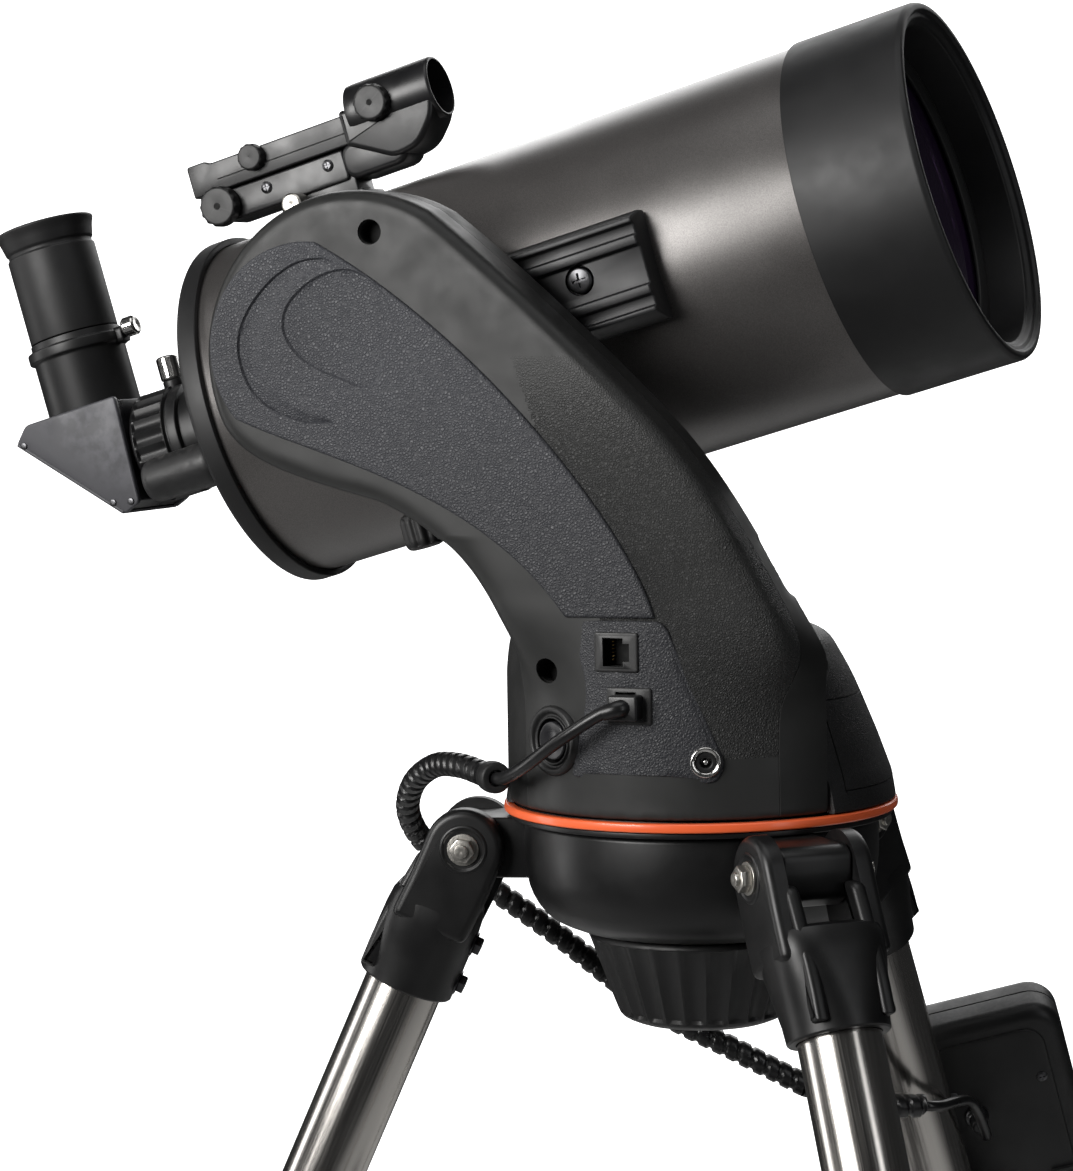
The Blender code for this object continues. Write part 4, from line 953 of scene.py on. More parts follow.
def add_ports():
    outline = [(-26, 74, 3), (-23, 78, 3), (11, 78, 3), (14, 75, 3), (34, 24, 4), (31, 17, 4), (-27, 18, 3),
               (-18, 52, 20)]
    outline = rounded([(x, z, r) for x, z, r in reversed(outline)], 3, 5)
    openings = [rectangle((low[0] + 1.2, low[1] + 1.2), (high[0] - 1.2, high[1] - 1.2), 1.2, 3)
                for low, high in (AUX_JACK, HAND_JACK)]
    openings.append(circle(POWER_JACK, 5.0, 28))
    panel = sheet(outline, 0.0, 1.0, openings, 3.0, 0.7, place=on_base)
    piece("port_panel_skin", panel, MOUNT, "fork_arm", GRAIN, ["port_panel"], 40)
    for name, (low, high) in (("aux_jack", AUX_JACK), ("hand_jack", HAND_JACK)):
        middle = ((low[0] + high[0]) / 2, (low[1] + high[1]) / 2)
        mouth = [(middle[0] + a, middle[1] + b) for a, b in ((-5.4, -5.4), (3.0, -5.4), (3.0, -3.4),
                                                             (5.6, -3.4), (5.6, 3.4), (3.0, 3.4),
                                                             (3.0, 5.4), (-5.4, 5.4))]
        frame_shape = sheet(rectangle(low, high, 1.0, 3), 0.4, 1.5, [mouth], 3.0, 0.5, place=on_base)
        piece(f"{name}_frame", frame_shape, MOUNT, "fork_arm", KNOB, (), 40)
        back = box((low[0] + 2.2, ARM_FRONT + 6, low[1] + 2.2), (high[0] - 2.2, ARM_FRONT + 7,
                                                                 high[1] - 2.2), "Y", 0.8, 0)
        piece(f"{name}_back", back, MOUNT, "fork_arm", VOID, ())
        for contact in range(6):
            z = middle[1] - 3.4 + contact * 1.36
            wire = box((middle[0] - 4.2, ARM_FRONT + 4.2, z - 0.25),
                       (middle[0] - 3.4, ARM_FRONT + 6, z + 0.25), "Y", 0.1, 0)
            piece(f"{name}_contact_{contact + 1}", wire, MOUNT, "fork_arm", BRASS)
    around = radial(degrees(atan2(-71, POWER_JACK[0])), POWER_JACK[1])
    ring = [(4.4, 72), (4.6, 75.4), (5.9, 75.8), (6.0, 77.3, 0.5), (5.4, 78.0, 0.6), (4.0, 77.4, 0.5),
            (3.8, 72)]
    piece("power_jack_ring", turned(ring, "X", segments=64, radius=0.3), MOUNT @ around, "fork_arm", CHROME)
    liner = [(2.2, 70), (3.9, 70), (3.9, 76.6), (2.6, 76.6, 0.3), (2.2, 76.2, 0.2)]
    piece("power_jack_liner", turned(liner, "X", segments=48, radius=0.2), MOUNT @ around, "fork_arm", KNOB)
    pin = [(0, 69), (4.0, 69), (4.0, 70.5), (0.9, 70.5), (0.9, 76.6), (0, 76.9)]
    piece("power_jack_pin", turned(pin, "X", segments=24, radius=0.2), MOUNT @ around, "fork_arm", CHROME)

    around = radial(242, SWITCH_PLACE.z)
    collar = [(8.5, 68), (14.2, 68), (13.8, 75.8, 0.6), (13.0, 77.6, 0.8), (11.2, 77.6, 0.8),
              (10.4, 76.2, 0.5), (9.6, 76.0, 0.4), (9.2, 77.0, 0.4), (8.5, 76.8, 0.3)]
    piece("power_switch_collar", turned(collar, "X", segments=64, radius=0.2), MOUNT @ around, "fork_arm",
          KNOB)
    button = [(0, 70), (7.5, 70), (7.5, 76.4, 0.8), (7.0, 77.0, 1.0), (3.0, 76.1, 2), (0, 75.9)]
    piece("power_switch_button", turned(button, "X", segments=64, radius=0.3), MOUNT @ around, "power_switch",
          PRISM_BLACK, ["power_switch"])


def dome_radius(height):
    """Outer radius of the drive base at a height."""
    levels = ((2.4, 77.0), (12, 75.6), (28, 69.8), (51, 60.4), (66.5, 51.6), (70.8, 43.0))
    for (h0, r0), (h1, r1) in zip(levels, levels[1:]):
        if h0 <= height <= h1:
            return r0 + (r1 - r0) * (height - h0) / (h1 - h0)
    return levels[-1][1]


def add_drive_base():
    wall = 2.4
    outside = [(77, 2.4), (75.6, 12, 8), (69.8, 28, 9), (60.4, 51, 9), (51.6, 66.5, 4), (43, 70.8, 5),
               (0, 71.5)]
    inner = [(0, 71.5 - wall), (42, 68.2), (49.4, 64.6), (58, 50), (67.4, 27), (73.4, 11), (74.5, 2.4)]
    cover = half(turned(outside + inner, segments=180, radius=0.6), ARM_BACK + 0.3, False)
    doorway = turned([(60, 10), (90, 10), (90, 44), (60, 44)], segments=40, radius=0, start=-24, sweep=48)
    piece("drive_base_skin", drilled(cover, doorway), MOUNT, "fork_arm", BASE, ["drive_base_cover"],
          40)

    heights = [10.4 + 33.2 * k / 12 for k in range(13)]
    door = [(dome_radius(h), h, 0) for h in heights] + [(dome_radius(h) - 2.2, h, 0)
                                                        for h in reversed(heights)]
    door = turned(door, segments=60, start=-23.5, sweep=47)
    notch = turned([(70, 36), (90, 32), (90, 41), (70, 41)], segments=16, radius=0, start=-5, sweep=10)
    piece("battery_door_skin", drilled(door, notch), MOUNT, "battery_door", BASE, ["battery_door"],
          40)

    ring_low, ring_high = local(MOUNT, "trim_ring")
    ring = turned([(74.4, ring_low.z), (ring_high.x, ring_low.z, 1.2), (ring_high.x, ring_high.z, 1.2),
                   (74.4, ring_high.z)], segments=192, radius=0.2)
    piece("orange_trim", ring, MOUNT, "tripod_head", ORANGE, ["trim_ring"])


# ---------------------------------------------------------------- optical tube

TUBE_RADIUS = 72.5
TUBE_REAR, TUBE_FRONT = -104.3, 172.0
CELL_RADIUS, CELL_FRONT = 74.0, 220.0
NUT_REAR, NUT_FRONT, NUT_RADIUS = -161.0, -138.0, 24.0
EYEPIECE_AXIS = -185.2
RIB_RUN_OUT = 0.8


def ribs(count, depth, low, high, sharp=1.0):
    """Grip ribs between two heights, for turned()."""
    def wave(angle, radius, height):
        if radius < 3 or not low <= height <= high:
            return radius
        fade = smoothstep(min(height - low, high - height) / RIB_RUN_OUT)
        dip = (0.5 - 0.5 * cos(count * angle)) ** sharp
        return radius - depth * fade * dip
    return wave


def add_tube():
    skin = [(71.3, TUBE_REAR), (TUBE_RADIUS, TUBE_REAR), (TUBE_RADIUS, TUBE_FRONT), (71.3, TUBE_FRONT)]
    piece("tube_skin", turned(skin, "X", segments=256, radius=0.2), TUBE, "optical_tube", PAINT,
          ["main_tube"])
    cell = [(72.8, 169.2), (CELL_RADIUS, 169.2, 0.8), (CELL_RADIUS, CELL_FRONT - 2.2, 0.6),
            (73.0, CELL_FRONT, 0.8), (70.6, CELL_FRONT, 0.5), (69.8, 218.4, 0.5), (67.8, 218.0, 0.5),
            (66.6, 216.2, 0.6), (65.6, 215.6, 0.5), (65.3, 199.5), (65.3, 184), (60, 184),
            (60, TUBE_FRONT + 0.3), (72.8, TUBE_FRONT + 0.3)]
    piece("front_cell_ring", turned(cell, "X", segments=256, radius=0.3), TUBE, "optical_tube", CELL,
          ["front_cell"])
    retainer = [(60.5, 197.2), (65.2, 197.2), (65.2, 200.4), (63.6, 200.4, 0.8), (60.5, 198.4, 0.5)]
    piece("corrector_retainer", turned(retainer, "X", segments=200, radius=0.3), TUBE, "optical_tube", CELL,
          ())
    front = [(66 * k / 16, 188 + 8.5 * (k / 16) ** 2) for k in range(17)]
    rear = [(65 * k / 16, 178 + 6.3 * (k / 16) ** 2) for k in range(16, -1, -1)]
    lens = [(min(r, 65.0), h, 0) for r, h in front + rear]
    piece("corrector_meniscus", turned(lens, "X", segments=160, radius=0), TUBE, "optical_tube", LENS,
          ["corrector_lens"])
    spot = [(0, 177.4), (16, 177.7), (16, 177.3), (0, 177.0)]
    piece("secondary_spot", turned(spot, "X", segments=96, radius=0), TUBE, "optical_tube", CHROME, ())
    for number, (radius, at) in enumerate(((66.5, 150), (66.0, 120), (66.5, 90)), 1):
        baffle = [(radius, at), (71.2, at), (71.2, at + 1.4), (radius, at + 0.5)]
        piece(f"tube_baffle_{number}", turned(baffle, "X", segments=160, radius=0.1), TUBE, "optical_tube",
              VOID, ())
    rear = [(72.8, -95.2), (75.5, -95.2, 0.9), (75.5, -103.4, 1.2), (73.6, -104.9, 0.9), (70, -105.4),
            (52, -109.5, 4), (30, -111, 3), (20.8, -112, 0.5), (20.8, -104.8), (72.8, -104.8)]
    shape = drilled(turned(rear, "X", segments=200, radius=0.3),
                    turned([(0, -125), (4.0, -125), (4.0, -90), (0, -90)], "X", (0, -30, -16), 32, 0))
    piece("rear_cell_casting", shape, TUBE, "optical_tube", CELL, ["rear_cell"])
    for number in range(3):
        angle = 90 + 120 * number
        screw = turned([(0, -112.5), (3.6, -112.5, 0.9), (3.6, -109.6), (0, -109.6)], "X", segments=32,
                       radius=0.3)
        place = TUBE @ Matrix.Rotation(radians(angle), 4, "X") @ Matrix.Translation((1.6, 0, 48))
        piece(f"rear_cell_screw_{number + 1}", screw, place, "optical_tube", STEEL_DARK, ())


def add_focuser():
    back = [(16.5, -112.4), (20.5, -112.4), (20.5, -121), (19.6, -121.6), (19.6, -123), (20.5, -123.6),
            (20.5, NUT_FRONT + 0.2), (NUT_RADIUS - 0.8, NUT_FRONT, 0.6),
            (NUT_RADIUS - 0.5, NUT_FRONT - 4.6, 0.4), (NUT_RADIUS - 1.8, NUT_FRONT - 5.0, 0.3),
            (NUT_RADIUS - 1.8, NUT_FRONT - 5.8, 0.3), (NUT_RADIUS, NUT_FRONT - 6.4, 0.2),
            (NUT_RADIUS, NUT_FRONT - 7.4, 0.2), (NUT_RADIUS, NUT_REAR + 2.8, 0.2),
            (NUT_RADIUS, NUT_REAR + 1.4, 0.3), (NUT_RADIUS - 1.0, NUT_REAR, 0.6), (16.5, NUT_REAR)]
    shape = turned(back, "X", segments=288, radius=0.3,
                   wave=ribs(24, 1.5, NUT_REAR + 1.6, NUT_FRONT - 6.6, 0.5))
    piece("visual_back_body", shape, TUBE, "optical_tube", BACK, ["visual_back"])
    knob = [(0, -153.5), (7.6, -153.5, 1.6), (9.4, -150.8, 1.6), (9.8, -122.2, 0.8), (9.0, -120, 0.8),
            (4.2, -119.6), (3.8, -113), (3.2, -112), (3.2, -92), (0, -92)]
    shape = turned(knob, "X", (0, -30, -16), 160, 0.3, ribs(40, 0.2, -148.5, -123.5))
    piece("focus_grip", shape, TUBE, "focus_knob", GREY_RUBBER, ["focus_knob"])
    mirror = [(22.6, -84), (62, -84), (62, -74, 0.6), (44, -77), (26, -78.6), (26, -56), (22.6, -56)]
    piece("primary_mirror_disc", turned(mirror, "X", segments=128, radius=0.4), TUBE, "primary_mirror",
          machined("mirror_silver", (0.9, 0.9, 0.92), 0.05, None, (1, 1, 4)), ["primary_mirror"])
    baffle = [(18.3, -112), (20.3, -112), (20.3, -60), (14, 60, 0.4), (12.8, 60, 0.4), (18.3, -60)]
    piece("baffle_cone", turned(baffle, "X", segments=96, radius=0.4), TUBE, "optical_tube", VOID,
          ["baffle_tube"])


def knurled(length, head, shank, tall=10.7):
    """Knurled thumbscrew along +Z from its shank's tip at 0; lengths and radii in millimetres."""
    top = length + tall
    profile = [(0, 0), (shank, 0, 0.4), (shank, length), (head - 0.6, length, 0.4), (head, length + 0.8, 0.3),
               (head, top - 0.9, 0.3), (head - 0.8, top, 0.5), (0, top - 0.3)]
    return turned(profile, segments=160, radius=0.2, wave=ribs(24, 0.42, length + 0.9, top - 1.0))


def add_diagonal():
    prism = [(-161.8, 25), (-207.5, 25), (-214.4, 18), (-172.5, -25), (-164, -22)]
    body = rounded(anticlockwise(prism), 2.0, 4)
    core = plate(inset(body, 1.4), "Y", -21.5, 21.5, 1.0)
    piece("diagonal_body", core, TUBE, "diagonal", PRISM_BLACK, ["diagonal_housing"])
    for side in (-1, 1):
        low, high = sorted((side * 21.5, side * 24.6))
        cheek = plate(body, "Y", low, high, 0.8)
        piece(f"diagonal_cheek_{'left' if side < 0 else 'right'}", cheek, TUBE, "diagonal", PRISM_GREY, ())
    for number, (x, z) in enumerate(((-210.6, 16.6), (-176.0, -18.8), (-167.6, -20.6)), 1):
        place = TUBE @ Matrix.Translation((x, -24.6, z)) @ TO_SIDE
        stud = turned([(0, -2), (1.5, -2), (1.5, 0.7, 0.3), (0, 0.8)], segments=28, radius=0.2)
        piece(f"diagonal_stud_{number}", stud, place, "diagonal", STEEL_DARK, ())
    a, b = Vector(prism[2]), Vector(prism[3])
    along = (b - a).normalized()
    out = Vector((along.y, -along.x))
    lid = [tuple(a + out * 0.2 + along * 0.5), tuple(b + out * 0.2 - along * 0.5),
           tuple(b - out * 1.4 - along * 0.5), tuple(a - out * 1.4 + along * 0.5)]
    piece("diagonal_lid", plate(rounded(anticlockwise(lid), 0.5, 2), "Y", -24.9, 24.9, 0.5), TUBE, "diagonal",
          PRISM_GREY, ())
    nose = [(12.6, -164), (15.85, -164), (15.85, -136.6, 0.6), (12.6, -136.6)]
    piece("diagonal_nose", turned(nose, "X", segments=96, radius=0.3), TUBE, "diagonal", CHROME, ())
    collar = [(15.9, -163.5), (19.2, -163.5, 0.4), (19.2, -161.6, 0.4), (15.9, -161.3)]
    piece("diagonal_shoulder", turned(collar, "X", segments=96, radius=0.3), TUBE, "diagonal", BACK, ())
    axis = (EYEPIECE_AXIS, 0, 0)
    holder = [(16.2, 22), (20.4, 22), (20.4, 49.6, 0.6), (22.2, 50.4, 0.5), (22.2, 54.4, 0.5),
              (21.6, 55, 0.4), (19.9, 55.2), (19.9, 58), (16.2, 58)]
    piece("eyepiece_holder", turned(holder, centre=axis, segments=128, radius=0.3), TUBE, "diagonal", BACK,
          ())
    lug = box((EYEPIECE_AXIS + 20.5, -3.8, 48.8), (EYEPIECE_AXIS + 24.4, 3.8, 56.0), "X", 2.0, 0.5)
    piece("eyepiece_holder_boss", lug, TUBE, "diagonal", BACK, ())

    barrel = [(13.2, 26), (15.75, 26), (15.75, 58.3), (19.5, 58.5, 0.5), (19.5, 96.4, 0.4), (18.7, 97.2, 0.4),
              (18.7, 98.6, 0.4), (19.5, 99.4, 0.5), (20.6, 104.5, 2), (21.9, 107.9, 0.7), (21.2, 108.7, 0.5),
              (20.2, 108.4, 0.4), (14.5, 100.2, 2), (12.4, 99.4, 0.4), (12.4, 92), (13.2, 60)]
    piece("eyepiece_barrel", turned(barrel, centre=axis, segments=144, radius=0.3), TUBE, "eyepiece", CELL,
          ["eyepiece"])
    lens = [(0, 96.6), (12.3, 95.2), (12.3, 92.6), (0, 92.6)]
    piece("eyepiece_eye_lens", turned(lens, centre=axis, segments=64, radius=0), TUBE, "eyepiece", LENS, ())
    place = TUBE @ Matrix.Translation((-168.6, 0, 54.6)) @ Matrix.Rotation(pi / 2, 4, "Y")
    piece("eyepiece_thumbscrew", knurled(8.0, 4.4, 1.7, 6.4), place, "eyepiece_screw", CHROME,
          ["eyepiece_screw"])
    place = TUBE @ Matrix.Translation((-145, 0, 17.0))
    piece("visual_back_thumbscrew", knurled(9.4, 4.8, 1.9), place, "visual_back_screw", CHROME,
          ["visual_back_screw"])
    boss = [(2.4, 22.4), (4.4, 22.4), (4.4, 26.2, 0.4), (2.4, 26.4)]
    piece("visual_back_boss", turned(boss, centre=(-145, 0, 0), segments=48, radius=0.2), TUBE,
          "optical_tube", BACK, ())


def add_dovetail():
    """Stepped dovetail bar with its saddle, on the arm's side of the tube."""
    half_profile = [(14.6, 12.2), (22.0, 12.2), (22.0, 17.6), (18.8, 29.4), (17.0, 29.6), (16.2, 27.6),
                    (12.4, 27.6), (11.6, 29.6), (8.2, 29.6), (7.4, 27.0), (0, 27.0)]
    outline = [(-depth, width) for width, depth in half_profile]
    outline += [(-depth, -width) for width, depth in reversed(half_profile[:-1])]
    bar = plate(rounded(anticlockwise(outline), 0.5, 2), "X", -48, 108, 0.8)
    hole = turned([(0, -35), (6.0, -35), (6.0, -23.4), (3.2, -23.4), (3.2, -18), (0, -18)], "Y",
                  (80, 0, 1.7), 48, 0)
    piece("dovetail_rail", drilled(bar, hole), ALTITUDE, "optical_tube", SADDLE,
          ["dovetail_bar"])
    screw = [(0, -28.2), (5.2, -27.6, 1.0), (5.4, -25.2, 0.4), (5.4, -23.8), (0, -23.8)]
    slots = [box((80 - 3.0, -30, 1.7 - 0.5), (80 + 3.0, -26.4, 1.7 + 0.5), "Y", 0.2, 0),
             box((80 - 0.5, -30, 1.7 - 3.0), (80 + 0.5, -26.4, 1.7 + 3.0), "Y", 0.2, 0)]
    piece("dovetail_screw", drilled(turned(screw, "Y", (80, 0, 1.7), 48, 0.3), *slots), ALTITUDE,
          "optical_tube", STEEL_DARK, ())
    saddle = merged(turned([(0, -37.4), (37.4, -37.4, 0.8), (38, -36.4), (38, -30.2), (0, -30.2)], "Y",
                           (0, 0, 0), 96, 0.4), box((-42, -31, 22.8), (42, -18.5, 31), "X", 1.2, 0.8),
                    box((-42, -31, -31), (42, -18.5, -22.8), "X", 1.2, 0.8),
                    turned([(0, -66), (13.4, -66), (13.4, -37), (0, -37)], "Y", (0, 0, 0), 64, 0.4))
    piece("saddle_casting", saddle, ALTITUDE, "optical_tube", SADDLE, ["altitude_saddle"])
    knob = [(0, -80), (5.6, -80, 0.8), (7.6, -79, 0.8), (8.2, -77, 0.8), (8.2, -68.5, 0.8), (7.2, -66, 0.8),
            (5.0, -65, 0.8), (3.2, -61), (3.2, -23.4), (0, -23.4)]
    shape = turned(knob, centre=(-14, -25, 0), segments=160, radius=0.4,
                   wave=ribs(10, 0.9, -79.4, -66.8, 1.4))
    piece("dovetail_clamp_knob", shape, ALTITUDE, "dovetail_knob", KNOB, ["dovetail_knob"])


ALTITUDE = placing(joint_place("altitude"), TUBE_AXIS, ACROSS, TUBE_AXIS.cross(ACROSS))


# ---------------------------------------------------------------- finder

def phillips(name, place, radius, height, body, finish):
    """A pan head with a cross recess, its face towards +Z of the place."""
    head = turned([(0, height), (radius * 0.55, height, 0.2), (radius, height * 0.45, 0.3), (radius, 0),
                   (0, 0)], segments=40, radius=0.2)
    reach, wide = radius * 0.62, radius * 0.13
    slots = [plate(rectangle((-reach, -wide), (reach, wide), 0.1, 2), "Z", height * 0.35, height + 1, 0),
             plate(rectangle((-wide, -reach), (wide, reach), 0.1, 2), "Z", height * 0.35, height + 1, 0)]
    return piece(name, drilled(head, *slots), place, body, finish, ())


TO_SIDE = Matrix.Rotation(pi / 2, 4, "X")          # turns +Z to -Y, the arm's side


def add_finder():
    foot = merged(box((-72, -11, 72.2), (-29, 11, 76.4), "X", 0.8, 0.8),
                  box((-69, -8.4, 75), (-32, 8.4, 84), "X", 1.0, 0.8))
    rail = rounded([(-96, 81.6, 3), (-34, 81.6, 2), (-34, 94.5, 1.5), (-101, 94.5, 1), (-101, 92, 1.5)],
                   1.0, 4)
    foot = merged(foot, plate(rail, "Y", -10.2, 10.2, 0.9))
    piece("finder_bracket", foot, TUBE, "optical_tube", FINDER_BLACK, ["finder_foot"])
    for number, along in enumerate((-72, -42), 1):
        place = TUBE @ Matrix.Translation((along, -10.2, 90)) @ TO_SIDE
        phillips(f"finder_screw_{number}", place, 2.6, 0.9, "optical_tube", STEEL_DARK)
    clamp = TUBE @ Matrix.Translation((-58, -10.6, 78)) @ TO_SIDE @ Matrix.Translation((0, 0, -6))
    piece("finder_thumbscrew", knurled(7, 4.6, 1.8), clamp, "optical_tube", NUT_STEEL, ())

    rail = rounded([(-73, 0.4, 1), (8, 0.4, 1), (8, 13, 1), (-62, 13, 1.5), (-64, 14.5, 1),
                    (-73, 14.5, 1.5)], 1.0, 4)
    rail = plate(rail, "Y", -10.4, 10.4, 0.7)
    cheek = rounded([(2, 0, 1), (22, -11.5, 4), (34, -10, 8), (43.5, 0, 6), (46, 8.5, 2), (46, 12.6, 1),
                     (43, 15, 2), (2, 15, 2)], 1.0, 6)
    nose = plate(cheek, "Y", -11.8, 11.8, 2.4, 4)
    tunnel = turned([(0, 4), (11.5, 4), (11.5, 60), (0, 60)], "X", (0, 0, 12.5), 64, 0)
    nose = drilled(nose, tunnel)
    battery = box((-3, -10.2, -14.3), (28, 10.2, 1.5), "Y", 6.5, 2.4)
    hood = turned([(11.5, 6), (13.0, 6, 0.5), (13.2, 9, 0.4), (13.2, 45.2, 0.6), (12.6, 46, 0.4),
                   (11.7, 46, 0.3)], "X", (0, 0, 12.5), 96, 0.3)
    piece("finder_housing", merged(rail, nose, battery), FINDER, "finder", FINDER_BLACK, ["finder_body"])
    piece("finder_hood", hood, FINDER, "finder", FINDER_BLACK, ())
    window = turned([(0, 34), (11.5, 34), (11.5, 35.4), (0, 35.4)], "X", (0, 0, 12.5), 48, 0.2)
    piece("finder_window", window, FINDER, "finder", GLASS, ())
    seam = box((-60, -10.6, 5.2), (5, -10.1, 5.7), "Y", 0.1, 0)
    piece("finder_seam", seam, FINDER, "finder", VOID, ())

    grip = ribs(14, 0.7, -17.3, -13.9, 1.2)
    dial = turned([(0, -17.6), (6.8, -17.6, 0.6), (7.9, -16.6, 0.5), (7.9, -13.6, 0.4), (0, -13.6)], "Y",
                  (20, 0, 13), 120, 0.3, grip)
    piece("finder_dial", dial, FINDER, "finder_switch", KNOB, ["finder_switch"])
    mark = turned([(0, -17.7), (1.3, -17.7), (1.3, -17.5), (0, -17.5)], "Y", (20, 0, 13), 32, 0.05)
    piece("finder_dial_pin", mark, FINDER, "finder_switch", VOID, ())
    knob = turned([(0, -16.4), (7.6, -16.4, 0.6), (8.7, -15.4, 0.5), (8.7, -11.2, 0.5), (7.8, -10.8),
                   (3, -10.8), (3, -1), (0, -1)], "Y", (-94, 0, 88.5), 120, 0.3,
                  ribs(14, 0.7, -16.2, -11.4, 1.2))
    piece("finder_adjuster", knob, TUBE, "finder_tilt_knob", KNOB, ["finder_tilt_knob"])
    pin = turned([(0, -16.5), (1.5, -16.5), (1.5, -16.2), (0, -16.2)], "Y", (-94, 0, 88.5), 32, 0.05)
    piece("finder_adjuster_pin", pin, TUBE, "finder_tilt_knob", VOID, ())
    side_knob = turned([(0, -15.2), (5.0, -15.2, 0.5), (5.8, -14.4, 0.4), (5.8, -11, 0.4), (0, -10.2)], "Y",
                       (-41, 0, 9), 96, 0.3, ribs(12, 0.5, -15, -11.2, 1.2))
    piece("finder_side_adjuster", side_knob, FINDER, "finder", KNOB, ())


# ---------------------------------------------------------------- tripod

LEG_AZIMUTHS = {letter: degrees(atan2(*reversed((joint_place(f"leg_{letter}_fold")
                                                 - joint_place("azimuth")).xy))) for letter in "abc"}
HINGE_RADIUS = (joint_place("leg_a_fold") - joint_place("azimuth")).xy.length / MM
HINGE_HEIGHT = (joint_place("leg_a_fold") - joint_place("azimuth")).z / MM
LEG_OFFSET = 2.8
LEG_RADIUS = 15.875
EXTENSION_RADIUS = 12.7
LOCK_HEIGHT = (LEGS["a"].inverted() @ joint_place("leg_a_lock_turn")).z


def about_axis(azimuth):
    return Matrix.Rotation(radians(azimuth), 4, "Z")


def hexagon(flats, turn=0.0):
    return [(flats / sqrt(3) * cos(radians(60 * k + turn)), flats / sqrt(3) * sin(radians(60 * k + turn)))
            for k in range(6)]


def bolt_head(flats, height, stub=0.0):
    """Hexagon head on a washer, along +Z from its seat at 0."""
    head = merged(turned([(0, 0), (flats * 0.72, 0), (flats * 0.72, 0.9), (0, 0.9)], segments=40, radius=0.2),
                  plate(hexagon(flats, 15), "Z", 0.8, height, 0.5))
    if stub:
        head = merged(head, turned([(0, height - 1), (flats * 0.3, height - 1),
                                    (flats * 0.3, height + stub, 0.4), (0, height + stub)], segments=28,
                                   radius=0.2))
    return head


def lofted(sections, centre, count=96):
    """Joins oval sections (half width, half depth, squareness, height) into a closed ring of walls."""
    shape = bmesh.new()
    rings = []
    for wide, deep, square, height in sections:
        ring = []
        for k in range(count):
            across, along = cos(2 * pi * k / count), sin(2 * pi * k / count)
            ring.append(shape.verts.new((centre[0] + wide * copysign(abs(across) ** (2 / square), across),
                                         centre[1] + deep * copysign(abs(along) ** (2 / square), along),
                                         height)))
        rings.append(ring)
    rings.append(rings[0])
    return bridge(shape, rings, close_ends=False)


def add_tripod_head():
    flange = [(0, -7.2), (65.6, -7.2), (65.6, -4.3), (75.6, -4.3, 0.6), (75.6, -2.2, 0.4), (73.5, -2.2),
              (73.5, 1.9), (9, 1.9), (9, 34), (0, 34)]
    piece("azimuth_plate", turned(flange, segments=200, radius=0.2), MOUNT, "tripod_head", HEAD,
          ["base_plate"])
    bowl = [(8, -49), (49, -49, 3), (61.5, -44, 7), (68.4, -33.5, 8), (70.2, -20, 6), (70, -6.4, 0.8),
            (68.6, -4.7, 0.6), (66, -4.7), (66, -20), (64, -31.5, 4), (57.5, -39.8, 4), (47, -44.2),
            (8, -44.2)]
    shape = turned(bowl, segments=200, radius=0.3)
    for azimuth in LEG_AZIMUTHS.values():
        x, z = HINGE_RADIUS, HINGE_HEIGHT
        side = [(64, -29.0), (x + 1, -29.0, 3), (x + 10.6, z - 7.6, 3), (x + 12.4, z + 1, 2),
                (x + 12.4, z + 8.6, 3.5), (x + 8.6, -4.8, 2.5), (64, -4.8)]
        lug = plate(rounded(side, 0, 5), "Y", -14.2, 14.2, 1.2, 4)
        shape = merged(shape, moved(lug, about_axis(azimuth)))
    piece("head_bowl", shape, MOUNT, "tripod_head", HEAD, ["head_casting"])
    knob = [(0, -87.2), (26, -87.2, 3), (33.2, -84.2, 2.5), (35.4, -79, 3), (40.2, -66, 3),
            (45.4, -51.8, 1), (44.4, -50, 0.6), (5, -49.6), (5, -12), (0, -12)]
    shape = turned(knob, segments=384, radius=0.4, wave=ribs(26, 2.0, -83.5, -52.2, 0.5))
    piece("mount_knob_grip", shape, MOUNT, "mount_knob", KNOB, ["mount_knob"])


